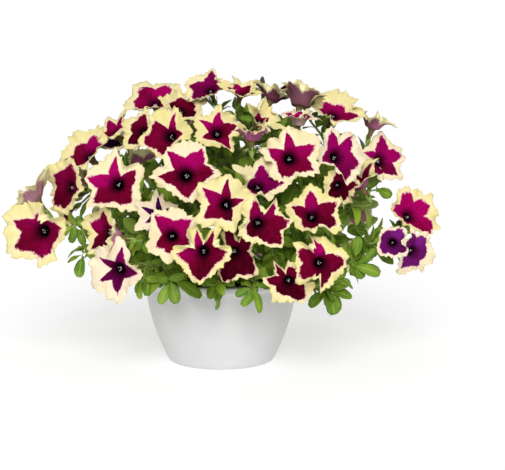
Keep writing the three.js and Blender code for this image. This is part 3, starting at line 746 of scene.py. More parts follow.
        "lobes": (-28, 103, 190, 252, 299),
        "arms": (0.65, 0.85, 0.5, 0.8, 0.88),
        "dips": (0.4, 0.5, 0.45, 0.4, 0.3),
        "rim": (0.95, 1.02, 0.95, 0.98, 1.02),
        "notches": (0.98, 0.75, 0.7, 0.6, 0.5),
        "rolls": ((28, 34, 180, 19), (275, 16, 100, 9)),
        "glow": -0.7,
    },
    35: {
        "full": 0.2,
        "lobes": (-3, 93, 195, 242, 319),
        "arms": (0.82, 0.8, 0.78, 0.86, 0.86),
        "dips": (0.34, 0.46, 0.4, 0.6, 0.4),
        "rim": (1.0, 1.0, 0.98, 1.02, 1.04),
        "notches": (0.78, 0.74, 1.02, 0.85, 0.95),
        "rolls": ((217, 25, 185, 19), (338, 16, 170, 15)),
        "glow": -0.1,
    },
    36: {"rim": (1.1, 1.0, 1.0, 1.05, 1.1), "glow": -0.2},
    37: {
        "lobes": (4, 76, 170, 224, 288),
        "arms": (0.8, 0.73, 0.78, 0.68, 0.66),
        "dips": (0.34, 0.3, 0.36, 0.22, 0.26),
        "rim": (1.05, 0.95, 1.05, 1.05, 0.95),
        "notches": (0.66, 0.6, 0.82, 0.84, 0.84),
        "pale": 1.0,
        "violet": 0.5,
        "glow": 0.1,
    },
    38: {
        "full": 0.25,
        "lobes": (2, 62, 150, 225, 282),
        "arms": (0.8, 0.76, 0.98, 0.35, 0.8),
        "dips": (0.5, 0.52, 0.4, 0.3, 0.5),
        "rim": (1.06, 1.04, 1.16, 0.7, 1.0),
        "notches": (0.98, 0.96, 0.8, 0.5, 0.88),
        "curl": (0, 0, 0, 80, 10),
        "cup": 12,
        "glow": 0.7,
    },
    39: {
        "lobes": (26, 106, 160, 211, 318),
        "arms": (0.87, 0.82, 0.62, 0.66, 0.64),
        "dips": (0.62, 0.58, 0.52, 0.58, 0.6),
        "rim": (1.05, 1.0, 0.8, 0.84, 0.84),
        "notches": (0.78, 0.75, 0.7, 0.72, 0.76),
        "rolls": ((72, 28, 150, 12),),
        "pale": 1.0,
    },
    40: {
        "lobes": (-5, 85, 140, 197, 317),
        "arms": (0.75, 0.62, 0.62, 0.9, 0.87),
        "dips": (0.62, 0.52, 0.58, 0.6, 0.62),
        "rim": (1.0, 1.05, 1.0, 1.1, 1.0),
        "notches": (0.85, 0.9, 0.85, 0.8, 0.8),
        "pale": 0.8,
    },
    41: {"cup": 40, "hinge": 11, "curl": (-45, -40, -50, -40, -45), "glow": -0.5},
    51: {"violet": 1.0, "pale": 1.0, "cup": 5, "arms": (0.6, 0.6, 0.6, 0.6, 0.6), "glow": 0.4},
    52: {"cup": 36, "glow": -0.8, "hinge": 11},
    53: {"cup": 20, "rim": (1.1, 1.1, 1.1, 1.1, 1.1), "arms": (0.5, 0.5, 0.5, 0.5, 0.5)},
    54: {"cup": 36, "hinge": 11, "curl": (-30, -30, -30, -30, -30), "pale": 0.3},
}

# A bloom whose rolls aren't read from the photograph has three slight ones within these bounds.
ROLL = {"low": (0, 10, 20, 7), "high": (360, 24, 110, 12)}

# The petals' relief, in millimetres. Teeth, ruffles and billows have a height and a spacing in columns. The
# teeth's height is a share of the rim's radius. A crease runs along the middle of each lobe. The skin is
# thinner at the rim. The funnel, the curl and the fold begin at those distances.
PETAL = {
    "small_teeth": (0.03, 2.2),
    "large_teeth": (0.035, 6),
    "ruffle": (1.7, 5),
    "billow": (2.0, 13),
    "star_wave": 0.7,
    "crease": {"deep": 0.8, "half_width": 1.6},
    "half_skin": {"limb": 0.26, "thinner": 0.12},
    "funnel_from": 6,
    "hinge": 14.0,
    "fold": {"hinge": 5.0, "width": 11},
}


def spiked(tips, dents, angle):
    """The radius of a five-pointed outline with straight sides between a point and the dent beside it."""
    half = TURN / 10
    return tips * dents * math.sin(half) / (tips * np.sin(angle) + dents * np.sin(half - angle))


def wound(along, hinge, wind):
    """A flat strip that is straight up to the hinge and then winds up on a circle, wind radians a mm:
    how far along and how high each point comes, and the angle that the strip has turned there."""
    wind = wind + 1e-9
    turn = wind * np.clip(along - hinge, 0, None)
    return np.minimum(along, hinge) + np.sin(turn) / wind, (1 - np.cos(turn)) / wind, turn


def noise_round(chance, spacing):
    """Even noise round the columns, its bumps about that many columns apart, about 1 high."""
    rough = chance.normal(0, 1, COLUMNS)
    frequency = np.fft.rfftfreq(COLUMNS) * spacing
    smoothed = np.fft.irfft(np.fft.rfft(rough) * np.exp(-((frequency * 1.2) ** 2)), COLUMNS)
    return smoothed / smoothed.std()


def corolla(number, size):
    """One corolla: a thin closed skin, seen from the front along -Z, its first lobe on +Y.

    Columns run from the tube's foot to the rim. Unbent, the height is the rise less the pull over the radius,
    a hyperbola that makes tube, throat and limb in one. The rim's radius is a five-pointed outline with
    crinkled teeth, and its outer part is ruffled. Each lobe is then bent in its own frame: its edges wind
    up along it, and its outer part winds up on a circle. A column's place is the mean of the five bent
    frames, weighted by the squared cosine of its distance from each lobe. Before that, the margin is wound
    inwards where a roll is.
    """
    chance = np.random.default_rng(SEEDS["petals"] + number)
    look = LOOKS.get(number, {})
    nominal = BLOOM["across"] / 2
    theta = np.arange(COLUMNS) * TURN / COLUMNS
    even = np.arange(5) * TURN / 5
    lobe_at = np.radians(look.get("lobes", np.degrees(even) + chance.normal(0, 5, 5)))
    wide = np.concatenate([lobe_at[-1:] - TURN, lobe_at, lobe_at[:1] + TURN])
    warped = np.interp(theta, wide, np.arange(-1, 6) * TURN / 5)
    off = (warped[:, None] - even + TURN / 2) % TURN - TURN / 2
    share = np.cos(np.clip(np.abs(off) / (TURN / 5), 0, 1) * TURN / 4) ** 2
    lobe = np.abs(off).argmin(axis=1)
    signed = off[np.arange(COLUMNS), lobe]
    angle = np.abs(signed)
    dent = np.where(signed >= 0, lobe, lobe - 1) % 5
    arms = np.array(look.get("arms", chance.uniform(0.72, 0.88, 5)))
    dips = np.array(look.get("dips", chance.uniform(0.4, 0.58, 5)))
    tips = np.array(look.get("rim", np.maximum(arms + 0.2, chance.uniform(0.96, 1.1, 5))))
    notches = np.array(look.get("notches", 0.58 + 0.36 * dips + chance.normal(0, 0.05, 5)))
    curl = np.radians(look.get("curl", chance.normal(-8, 14, 5)))
    fold = np.radians(look.get("fold", chance.normal(0, 14, 5)))
    skew = np.radians(chance.normal(0, 10, 5))
    small, large, ruffle, billow = (PETAL[k] for k in ("small_teeth", "large_teeth", "ruffle", "billow"))
    teeth = 1 + small[0] * noise_round(chance, small[1]) + large[0] * noise_round(chance, large[1])
    low, high = ROLL["low"], ROLL["high"]
    roll, margin = np.zeros(COLUMNS), np.full(COLUMNS, low[3])
    for middle, half_width, turn_by, wound_mm in look.get("rolls", chance.uniform(low, high, (3, 4))):
        away = np.abs((np.degrees(theta) - middle + 180) % 360 - 180)
        here = math.radians(turn_by) * smooth(away, half_width, half_width * 0.3)
        margin = np.where(here > roll, wound_mm, margin)
        roll = np.maximum(roll, here)
    rim = nominal * spiked(tips[lobe], notches[dent], angle) * (1 + 0.05 * np.sin(angle * 5)) * teeth
    full = 1 + look.get("full", 0.07) * np.sin(angle * 5)
    star = nominal * spiked(arms[lobe], dips[dent], angle) * full
    tube = np.geomspace(BLOOM["foot"], BLOOM["neck"], TUBE_RINGS)[:, None] + 0 * theta
    outward = np.linspace(0, 1, LIMB_RINGS + 1)[1:, None]
    limb = BLOOM["neck"] + outward * (rim - BLOOM["neck"])
    reach = np.concatenate([tube, limb])
    edge = reach / rim
    height = BLOOM["rise"] - BLOOM["pull"] / reach
    height += PETAL["star_wave"] * np.cos(5 * warped) * smooth(reach, 8, 20)
    crease = np.exp(-((angle * reach / PETAL["crease"]["half_width"]) ** 2))
    height -= PETAL["crease"]["deep"] * crease * smooth(reach, 6, 14)
    height += ruffle[0] * noise_round(chance, ruffle[1]) * smooth(edge, 0.64, 1.0) * edge**2
    height += billow[0] * noise_round(chance, billow[1]) * smooth(reach, 10, 30)
    # A funnel rises towards its rim and sinks by half that rise outside its tube, so it stays in its place.
    steep = math.tan(math.radians(look.get("cup", chance.normal(0, 4))))
    start = PETAL["funnel_from"]
    height += steep * smooth(reach, start, 18) * (reach - start)
    height -= 0.5 * max(steep, 0) * (0.75 * nominal - start) * smooth(reach, BLOOM["foot"], 13)
    spread, rolled_up, lean = wound(reach, rim - margin, roll / margin)
    spread = spread - height * np.sin(lean)
    height = rolled_up + height * np.cos(lean)
    hinge = look.get("hinge", PETAL["hinge"])
    at = 0
    for k in range(5):
        true_off = theta - lobe_at[k]
        forward, sideways = spread * np.cos(true_off), spread * np.sin(true_off)
        one_side = fold[k] - skew[k] * np.sign(sideways)
        wind = one_side / PETAL["fold"]["width"] * smooth(forward, 6, 18)
        rolled, lift, _ = wound(np.abs(sideways), PETAL["fold"]["hinge"], wind)
        lift = lift + height
        advance, raised, turn = wound(forward, hinge, curl[k] / (nominal * tips[k] - hinge))
        advance = advance - lift * np.sin(turn)
        raised = raised + lift * np.cos(turn)
        axis = np.array([math.sin(lobe_at[k]), math.cos(lobe_at[k])])
        flat = advance[..., None] * axis + (rolled * np.sign(sideways))[..., None] * [axis[1], -axis[0]]
        at = at + share[:, k, None] * np.concatenate([flat, raised[..., None]], axis=-1)
    down_column = np.gradient(at, axis=0)
    round_ring = (np.roll(at, -1, axis=1) - np.roll(at, 1, axis=1)) / 2
    normal = unit(np.cross(round_ring, down_column))
    skin = PETAL["half_skin"]["limb"] - PETAL["half_skin"]["thinner"] * smooth(edge, 0.7, 1)
    skin = skin[..., None] * normal
    both = np.concatenate([at - skin, (at + skin)[:0:-1]])
    # The sky mark paints light and shade: lobes near the top come out lighter and more magenta, those below
    # darker. Each lobe also differs a little at random, and glow shifts the whole bloom's painted light and
    # tone.
    sky = 0.5 + 0.35 * np.cos(theta) + 0.2 * (share @ chance.normal(0, 1, 5)) + look.get("glow", 0)
    fields = {
        "star": reach / star,
        "reach": reach,
        "edge": edge,
        "lane": signed + 1.3 * lobe + 0 * reach,
        "sky": sky + 0 * reach,
        "pale": look.get("pale", chance.uniform(0, 0.3)) + 0 * reach,
        "violet": look.get("violet", 0) + 0 * reach,
    }
    marks = {name: np.concatenate([f, f[:0:-1]])[None] for name, f in fields.items()}
    marks["back"] = (np.arange(len(both)) < len(reach)).astype(float)[None, :, None]
    return closed(both[None] * size * MM, **marks)


def anthers(number, size):
    """Five anthers and the stigma at the throat: small eggs, each a ring profile stretched along Z."""
    chance = np.random.default_rng(SEEDS["anthers"] + number)
    rise = np.linspace(-0.9, 0.9, 5)
    profile = np.stack([np.sqrt(1 - rise**2), 1.3 * rise], axis=-1)
    egg = turned(profile, 7)
    angle = chance.uniform(0, TURN) + np.arange(6) * TURN / 5 + chance.normal(0, 0.3, 6)
    out = np.where(np.arange(6) < 5, chance.uniform(1.0, 2.2, 6), 0)
    place = np.stack([out * np.cos(angle), out * np.sin(angle), chance.uniform(-11, -8, 6)], axis=-1)
    radius = chance.uniform(0.4, 0.65, 6)[:, None, None, None]
    return closed((egg * radius + place[:, None, None]) * size * MM)


def seated(shell, bloom):
    """A shell in a bloom's own frame, put where the bloom is."""
    basis = np.stack([np.cross(bloom["up"], bloom["face"]), bloom["up"], bloom["face"]])
    return {**shell, "at": bloom["spot"] + shell["at"] @ basis}


def foot_of(bloom, below=0):
    """The foot of a bloom's tube, or a point that many millimetres below it."""
    return bloom["spot"] - bloom["face"] * (BLOOM["tube"] * bloom["size"] + below) * MM


# Where stems and leaves may run

# How far each kind keeps from a bloom's skin, and how far out in front of its face.
CLEAR = {
    "stem": (2 * MM, 6 * MM),
    "leaf": (2 * MM, 34 * MM),
    "tip_leaf": (1 * MM, 8 * MM),
    "inner_tip": (7 * MM, 22 * MM),
}


def blocked(points, blooms, margin, front, own=None):
    """Which points lie in a bloom or in front of its face. A bloom holds everything within its hyperbola and
    its rim, grown by the margin, and a cone that narrows to nothing over the front distance."""
    spots = np.array([b["spot"] for b in blooms])
    faces = np.array([b["face"] for b in blooms])
    sizes = np.array([b["size"] for b in blooms])
    away = points[..., None, :] - spots
    height = (away * faces).sum(-1)
    radius = np.sqrt(np.clip((away**2).sum(-1) - height**2, 0, None))
    grown = np.clip((radius - margin) / MM / sizes, BLOOM["foot"], None)
    wall = (BLOOM["rise"] - BLOOM["pull"] / grown) * MM * sizes - margin
    rim = BLOOM["across"] / 2 * MM * sizes * 0.95 + margin
    reach = np.maximum(front, 4 * MM)
    cone = rim * (1 - np.clip(height / reach, 0, 1) * 0.6)
    hit = (height > wall) & (height < reach) & (radius < cone)
    if own is not None:
        hit[..., own] = False
    return hit.any(-1)


# A main stem's radii and the corners of its curve, as (distance from the axis, height), in millimetres.
TRUNK = {"radii": (3.0, 2.0), "corners": ((9.3, 86.2), (30, 86.2), (46, 108), (66, 138))}
TOP_TRUNK = np.array([[0, 0, 92.3], [0, 0, 115], [6, 4, 130], [0, 0, 150]]) * MM
# Each shoot's bearing, in degrees from the right. The top shoot has every end above its height and within its
# radius.
SHOOTS = {
    "shoot_right": 0,
    "shoot_back_right": 60,
    "shoot_back_left": 120,
    "shoot_left": 180,
    "shoot_front_left": 240,
    "shoot_front_right": 300,
}
TOP_SHOOT = {"name": "shoot_top", "radius": 78 * MM, "height": 205 * MM}

# How a branch is led: the cost of the way back to the crown, its least length, how many starts and which
# bends are tried, its straight lead into its end, its radii in millimetres, which of its points others may
# start at, and how far along they are. On a main stem others start from its ninth point on.
ROUTE = {
    "back_cost": 0.12,
    "least": 24 * MM,
    "choices": 40,
    "bends": (0.35, 0.5, 0.2, 0.7),
    "lead": 26 * MM,
    "radii": (1.5, 0.95),
    "starts": slice(2, 10),
    "start_shares": (0.12, 0.6),
}
TRUNK_STARTS = {"from": 8, "far": 0.04}
LINE_POINTS = 16


def bezier(corners):
    """Points on the cubic curve of four corners: the first and last are its ends, the others draw it."""
    t = np.linspace(0, 1, LINE_POINTS)[:, None]
    a, b, c, d = corners
    return (1 - t) ** 3 * a + 3 * t * (1 - t) ** 2 * b + 3 * t**2 * (1 - t) * c + t**3 * d


def trunk_line(bearing):
    """A main stem: it leaves the crown level and curves up and outwards at that bearing."""
    angle = math.radians(bearing)
    out = np.array([math.cos(angle), math.sin(angle), 0])
    return bezier([(out * r + UP * z) * MM for r, z in TRUNK["corners"]])


def bar(lines, radii, columns, ages):
    """Round bars along lines. Their radius in millimetres and their age go evenly from first to last."""
    radius = np.linspace(*np.array(radii) * MM, LINE_POINTS)
    return closed(tubes(lines, radius, columns), age=np.linspace(*ages, LINE_POINTS)[None, :, None])


def grow(trunk, targets, blooms):
    """A branch to each target, nearest first: it starts on a stem that is already there, where its own length
    and the way back to the crown are least and it runs clear of every other bloom."""
    lines = [trunk]
    first = TRUNK_STARTS["from"]
    start_at, start_along = trunk[first:], np.gradient(trunk, axis=0)[first:]
    start_back = np.linspace(0, TRUNK_STARTS["far"], len(start_at))
    for target in targets:
        end, face = target["end"], target["face"]
        span = np.linalg.norm(start_at - end, axis=1)
        order = np.argsort(span + ROUTE["back_cost"] * start_back + (span < ROUTE["least"]))
        chosen = None
        for bend in ROUTE["bends"]:
            for i in order[: ROUTE["choices"]]:
                leave = unit(unit(start_along[i]) + unit(end - start_at[i]))
                lead = min(ROUTE["lead"], bend * span[i])
                line = bezier([start_at[i], start_at[i] + leave * bend * span[i], end - face * lead, end])
                if chosen is None:
                    chosen = (line, i)
                if not blocked(line, blooms, *CLEAR["stem"], target.get("own")).any():
                    chosen = (line, i)
                    break
            else:
                continue
            break
        line, i = chosen
        lines.append(line)
        part = ROUTE["starts"]
        steps = np.linspace(*ROUTE["start_shares"], part.stop - part.start) * span[i] + start_back[i]
        start_at = np.concatenate([start_at, line[part]])
        start_along = np.concatenate([start_along, np.gradient(line, axis=0)[part]])
        start_back = np.concatenate([start_back, steps])
    return lines


# Leaves

LEAF_RINGS = np.array([0.0, 0.12, 0.26, 0.45, 0.65, 0.84, 0.97])
LEAF_COLUMNS = 8


def blades(root, along, face, length, width, droop, trough, age, point=0.45):
    """Leaf blades, all at once, each a flat closed tube. At a share t of its length past the stalk a blade is
    as wide as t^0.6 (1 - t)^point, scaled to its width. Across, it is a thin lens whose sides rise into a
    trough, and its middle line winds down on a circle."""
    side = unit(np.cross(along, face))
    face = np.cross(side, along)
    beta = np.arange(LEAF_COLUMNS) * TURN / LEAF_COLUMNS
    blade = np.clip((LEAF_RINGS - 0.1) / 0.9, 0, 1)
    base = 0.6
    point = np.zeros(len(length))[:, None] + np.reshape(point, (-1, 1))
    widest = (base / (base + point)) ** base * (point / (base + point)) ** point
    swell = blade**base * (1 - blade) ** point / widest
    half = np.maximum(width[:, None] / 2 * swell, 0.03 * length[:, None])
    t = LEAF_RINGS[None, :] * np.ones_like(half)
    wind = droop[:, None] + 1e-6
    advance = length[:, None] * np.sin(wind * t) / wind
    sink = -length[:, None] * (1 - np.cos(wind * t)) / wind
    across = np.cos(beta)
    out = half[..., None] * across
    lens = 0.22 * MM * np.sin(beta)
    rise = sink[..., None] + trough[:, None, None] * np.abs(out) + lens
    rise = rise + 0.12 * out * np.sin(9 * t + age[:, None] * 20)[..., None]
    forward = advance[..., None] + 0 * out
    points = root[:, None, None] + forward[..., None] * along[:, None, None]
    points = points + out[..., None] * side[:, None, None] + rise[..., None] * face[:, None, None]
    shape = out.shape
    return closed(
        points,
        across=np.broadcast_to(across, shape),
        along=np.broadcast_to(t[..., None], shape),
        age=np.broadcast_to(age[:, None, None], shape),
        back=np.broadcast_to(np.sin(beta) < -0.1, shape).astype(float),
    )


def leaf_places(lines, leafy, chance):
    """Two leaves at each knot of the stems, each pair about a quarter turn on from the last."""
    spacing, first, bare = 10 * MM, 9 * MM, 10 * MM
    spots, alongs, turns, scale = [], [], [], []
    for line, whorl in zip(lines, leafy):
        steps = np.linalg.norm(np.diff(line, axis=0), axis=1)
        length = np.concatenate([[0], np.cumsum(steps)])
        knots = np.arange(first, length[-1] - (0 if whorl else bare), spacing)
        knots = knots + chance.normal(0, 1.5 * MM, len(knots))
        spot = np.stack([np.interp(knots, length, line[:, i]) for i in range(3)], axis=-1)
        ahead = np.stack([np.interp(knots + MM, length, line[:, i]) for i in range(3)], axis=-1)
        tangent = unit(ahead - spot + 1e-9)
        for side in (0, 1):
            spots.append(spot)
            alongs.append(tangent)
            quarter = np.arange(len(knots)) * TURN / 4 * 1.1
            turns.append(quarter + side * TURN / 2 + chance.normal(0, 0.3, len(knots)))
            scale.append(np.interp(knots / length[-1], [0, 0.6, 1], [1.0, 1.0, 0.55]))
    return (np.concatenate(x) for x in (spots, alongs, turns, scale))


def leaves_on(lines, leafy, blooms, chance):
    """Leaves on the knots, each turned and shortened until it lies clear of the blooms, or left out."""
    spot, along, turn, scale = leaf_places(lines, leafy, chance)
    count, tries, shorten = len(spot), 7, 0.06
    length = (14 + 22 * chance.uniform(0, 1, count) ** 1.3) * MM * scale
    outward = unit((spot - DOME["middle"]) / DOME["reach"] ** 2 + 1e-9)
    first = square_to(np.broadcast_to([0.3, 0.2, 1.0], along.shape), along)
    second = np.cross(along, first)
    sample = np.array([0.25, 0.6, 1.0])
    chosen = np.full(count, -1)
    jitter = chance.normal(0, 0.25, (count, 3))
    directions = np.zeros((tries, count, 3))
    for i in range(tries):
        now = turn + i * 0.8
        direction = first * np.cos(now)[:, None] + second * np.sin(now)[:, None]
        direction = unit(direction + 0.55 * along + 0.35 * outward + 0.1 * UP + jitter)
        directions[i] = direction
        shorter = length * (1 - shorten * i)
        probe = spot[:, None] + direction[:, None] * (sample[:, None] * shorter[:, None, None])
        free = ~blocked(probe, blooms, *CLEAR["leaf"]).any(axis=1) & (chosen < 0)
        chosen[free] = i
    keep = chosen >= 0
    direction = directions[chosen[keep], np.flatnonzero(keep)]
    size = length[keep] * (1 - shorten * chosen[keep])
    kept = len(size)
    face = square_to(outward[keep] + 0.7 * UP + chance.normal(0, 0.35, (kept, 3)), direction)
    return blades(
        spot[keep],
        direction,
        face,
        size,
        size * chance.uniform(0.36, 0.62, kept),
        chance.normal(0.55, 0.4, kept),
        chance.uniform(0.05, 0.5, kept),
        chance.uniform(0, 1, kept),
        chance.uniform(0.35, 0.9, kept),
    )


def sepals(blooms):
    """Five narrow sepals round each tube's foot, spread a little from it and bent back."""
    count = 5 * len(blooms)
    chance = np.random.default_rng(SEEDS["sepals"])
    face, up, size = (np.repeat([b[key] for b in blooms], 5, axis=0) for key in ("face", "up", "size"))
    foot = np.repeat([foot_of(b) for b in blooms], 5, axis=0)
    angle = np.tile(np.arange(5) * TURN / 5 + 0.3, len(blooms))[:, None]
    out = up * np.cos(angle) + np.cross(face, up) * np.sin(angle)
    lean = chance.uniform(0.25, 0.6, (count, 1))
    root = foot + out * BLOOM["foot"] * MM - face * 1.5 * MM
    length = chance.uniform(11, 15, count) * MM * size
    flat = np.full(count, 0.1)
    droop = chance.uniform(0.2, 0.7, count)
    return blades(root, unit(face + out * lean), -out, length, length * 0.27, -droop, flat, 0.5 + flat)


def cups(blooms):
    """The calyx's cup under each tube: a short bar that widens from the stalk to the tube's foot."""
    foot = np.array([foot_of(b) for b in blooms])
    face = np.array([b["face"] for b in blooms])
    steps = np.array([-6, -4, -2, 0, 1.5]) * MM
    radii = np.array([1.1, 1.9, 2.7, 3.0, 2.9]) * MM
    return closed(tubes(foot[:, None] + face[:, None] * steps[:, None], radii, 9), age=0.0)


# The pot, its mix and the crown

# The pot's sizes in millimetres. The knots are the wall's outer radius at three heights.
POT = {
    "height": 95.0,
    "wall": 2.5,
    "floor": 5.5,
    "foot": 54.0,
    "knots": ((2.5, 58.1), (39.0, 73.1), (95.0, 83.0)),
    "stand_ring": 2.5,
    "rim_reach": 3.5,
    "rim_drop": 7.0,
    "rim_round": 1.5,
    "drain_radius": 5.0,
    "drain_circle": 31.0,
}


def wall_radius(height):
    """The pot's outer radius at a height: the parabola through its corner, belly and mouth."""
    heights, radii = np.array(POT["knots"]).T
    return np.polyval(np.polyfit(heights, radii, 2), height)


def arc(centre, radius, start, end, count):
    """Points on a quarter or half circle in the profile plane, from one angle to another, in degrees."""
    angle = np.radians(np.linspace(start, end, count))
    return np.stack([centre[0] + radius * np.cos(angle), centre[1] + radius * np.sin(angle)], axis=-1)


def pot_shell():
    """The pot's wall turned round Z: the underside with its stand ring, the outer bowl curve, the rolled rim
    and the inner wall."""
    drop = POT["height"] - POT["rim_drop"]
    outer = np.linspace(POT["knots"][0][0], drop, 26)
    inner = np.linspace(drop, POT["floor"] + 2, 22)
    rim_out = wall_radius(POT["height"]) + POT["rim_reach"]
    lip, raised = POT["rim_round"], POT["stand_ring"]
    parts = [
        [(3, 0), (20, 0), (21.5, raised), (41, raised), (42.5, 0), (POT["foot"] - 1, 0)],
        arc((POT["foot"] + 0.6, 3.0), 3.0, -85, -15, 6),
        np.stack([wall_radius(outer), outer], axis=-1),
        [(wall_radius(drop) + 0.2, drop + 0.1), (rim_out - 0.6, drop + 0.3)],
        arc((rim_out - 1, drop + 1.4), 1.0, -60, 0, 4),
        arc((rim_out - 2.2, POT["height"] - 2.2), 2.2, 0, 90, 7),
        arc((wall_radius(POT["height"]) - POT["wall"] + lip, POT["height"] - lip), lip, 90, 180, 6),
        np.stack([wall_radius(inner) - POT["wall"], inner], axis=-1),
        arc((wall_radius(POT["floor"]) - POT["wall"] - 4, POT["floor"] + 3), 3, -20, -90, 5),
        [(40, POT["floor"]), (3, POT["floor"])],
    ]
    return closed(turned(np.concatenate([np.array(p, float) for p in parts]) * MM, 144))


def drill_drains(pot):
    """Cuts the four round drain holes through the pot's floor: an exact Boolean with four bars, applied."""
    turns = (np.arange(4) + 0.5) * TURN / 4
    middles = np.stack([np.cos(turns), np.sin(turns), 0 * turns], axis=-1) * POT["drain_circle"]
    lines = middles[:, None] + UP * np.array([[-4], [3], [10]])
    bars = tubes(lines * MM, np.full(lines.shape[:2], POT["drain_radius"] * MM), 24)
    bits = shaped("drain_bits", [closed(bars)], [])
    drains = pot.modifiers.new("drains", "BOOLEAN")
    drains.operation = "DIFFERENCE"
    drains.solver = "EXACT"
    drains.object = bits
    whole = pot.evaluated_get(bpy.context.evaluated_depsgraph_get())
    drilled = bpy.data.meshes.new_from_object(whole)
    pot.modifiers.clear()
    pot.data = drilled
    bpy.data.objects.remove(bits)


def mix_height(radius):
    """The mix's surface: a low mound round the crown that falls a little towards the wall."""
    return 83 - 3 * smooth(radius, 50, 79) - 0.5 * smooth(radius, 10, 0)


def mix_shell():
    """The potting mix: the pot's inside filled to a finger below the rim, its top crumbled by random
    heights."""
    chance = np.random.default_rng(SEEDS["mix"])
    columns, top_rings = 120, 30
    side, floor = np.linspace(8, 80, 12), POT["floor"] + 0.4
    profile = [(3, floor), (40, floor)] + [(wall_radius(z) - POT["wall"] - 0.6, z) for z in side]
    radii = np.linspace(wall_radius(80) - POT["wall"] - 1.5, 1.5, top_rings)
    profile += [(r, mix_height(r)) for r in radii]
    points = turned(np.array(profile) * MM, columns)
    rough = chance.normal(0, 1, (top_rings, columns))
    rough = rough + np.roll(rough, 1, axis=1) + np.roll(rough, -1, axis=1)
    points[0, -top_rings:, :, 2] += rough * 0.42 * MM * smooth(np.arange(top_rings), 0, 3)[:, None]
    return closed(points)


def crumbs(count, sizes, flat, seed):
    """Crumbs lying on the mix, such as bark or perlite: knobbly eggs within sizes in millimetres, as high as
    that share of them, turned at random."""
    chance = np.random.default_rng(seed)
    rise = np.array([-0.85, -0.3, 0.3, 0.85])
    egg = turned(np.stack([np.sqrt(1 - rise**2), rise * flat], axis=-1), 6)
    egg = egg * chance.uniform(0.7, 1.3, (count, 4, 6, 1))
    half = chance.uniform(sizes[0], sizes[1], (count, 1, 1, 1)) / 2
    stretch = chance.uniform(0.6, 1.5, (count, 1, 1, 1))
    egg = egg * np.concatenate([half * stretch, half / stretch, half], axis=-1)
    axes = unit(chance.normal(0, [1, 1, 0.2], (count, 3)))
    side = square_to(np.broadcast_to(UP, axes.shape), axes)
    basis = np.stack([axes, np.cross(side, axes), side], axis=1)
    radius = 76 * np.sqrt(chance.uniform(0.03, 1, count))
    angle = chance.uniform(0, TURN, count)
    place = np.stack([radius * np.cos(angle), radius * np.sin(angle), mix_height(radius) + 0.7], axis=-1)
    return closed((np.einsum("nrci,nij->nrcj", egg, basis) + place[:, None, None]) * MM)


def crown_shell():
    """The root crown: a knobbly woody cone that stands in the mix, where the main stems leave it."""
    chance = np.random.default_rng(SEEDS["crown"])
    root = [(2, 56), (4, 60), (6, 64), (6, 82), (7.5, 84)]
    profile = root + [(9, 86), (9, 88.5), (8, 90.5), (6, 91.8), (2, 92.3)]
    wobble = 0.05 * chance.normal(0, 1, (len(profile), 20))
    return closed(turned(np.array(profile) * MM, 20, wobble), age=1.0)


def on_photo(px, py, depth):
    """The point on the sight line through a pixel of the photograph, at that distance past the aim."""
    focal = CAMERA["distance"] / PHOTO["pixel"]
    right = (px - PHOTO["width"] / 2) / focal
    high = (PHOTO["height"] / 2 - py) / focal
    ray = FORWARD + right * SCREEN_RIGHT + high * SCREEN_UP
    return CAMERA["aim"] - CAMERA["distance"] * FORWARD + ray * (CAMERA["distance"] + depth)


# The leafy tips that the photograph shows: its pixels, and how far past the aim they lie, in metres. A tip's
# leaves have a direction on the photograph, clockwise from up in degrees, a length and a width in mm.
TIPS = [
    {"px": 170, "py": 281, "depth": -0.1,
     "leaves": [(118, 36, 14), (165, 26, 13), (205, 25, 11), (75, 20, 10)]},
    {"px": 219, "py": 284, "depth": -0.105, "leaves": [(170, 24, 8), (200, 18, 8)]},
    {"px": 254, "py": 287, "depth": -0.11,
     "leaves": [(218, 27, 10), (160, 28, 10), (245, 18, 9), (95, 16, 8)]},
    {"px": 327, "py": 290, "depth": -0.07,
     "leaves": [(160, 27, 19), (235, 26, 12), (95, 26, 13), (60, 24, 12)]},
    {"px": 352, "py": 262, "depth": -0.04,
     "leaves": [(150, 26, 14), (100, 30, 15), (60, 30, 14), (10, 24, 12)]},
    {"px": 368, "py": 236, "depth": -0.02,
     "leaves": [(165, 28, 15), (110, 26, 13), (50, 20, 10), (285, 24, 14)]},
    {"px": 376, "py": 190, "depth": -0.01, "leaves": [(120, 18, 12)]},
    {"px": 76, "py": 225, "depth": -0.03,
     "leaves": [(190, 22, 9), (150, 20, 9), (230, 20, 9), (100, 18, 9)]},
    {"px": 82, "py": 252, "depth": -0.04, "leaves": [(200, 24, 13), (250, 18, 9), (120, 20, 10)]},
    {"px": 128, "py": 214, "depth": 0.0,
     "leaves": [(200, 24, 12), (140, 22, 12), (60, 20, 10), (300, 22, 11)]},
    {"px": 288, "py": 250, "depth": -0.03, "leaves": [(180, 24, 14), (110, 22, 12), (250, 20, 12)]},
    {"px": 270, "py": 262, "depth": -0.05, "leaves": [(205, 22, 12), (150, 24, 12), (95, 20, 10)]},
    {"px": 299, "py": 245, "depth": 0.0,
     "leaves": [(0, 20, 11), (90, 22, 12), (180, 22, 12), (270, 22, 12)]},
    {"px": 148, "py": 270, "depth": -0.085, "leaves": [(175, 30, 13), (215, 24, 11), (130, 26, 12)]},
]

# Leafy tips on the back, at these bearings from straight behind in degrees.
BACK_TIPS = {"bearings": (-75, -45, -15, 15, 45, 75), "radius": 112 * MM, "height": 112 * MM}

# Leafy tips inside the dome: how many are tried, at which shares of its reach, down to which share of its
# height, and above which height.
INNER_TIPS = {"count": 230, "shares": (0.56, 0.84), "low": -0.5, "above": 97 * MM}

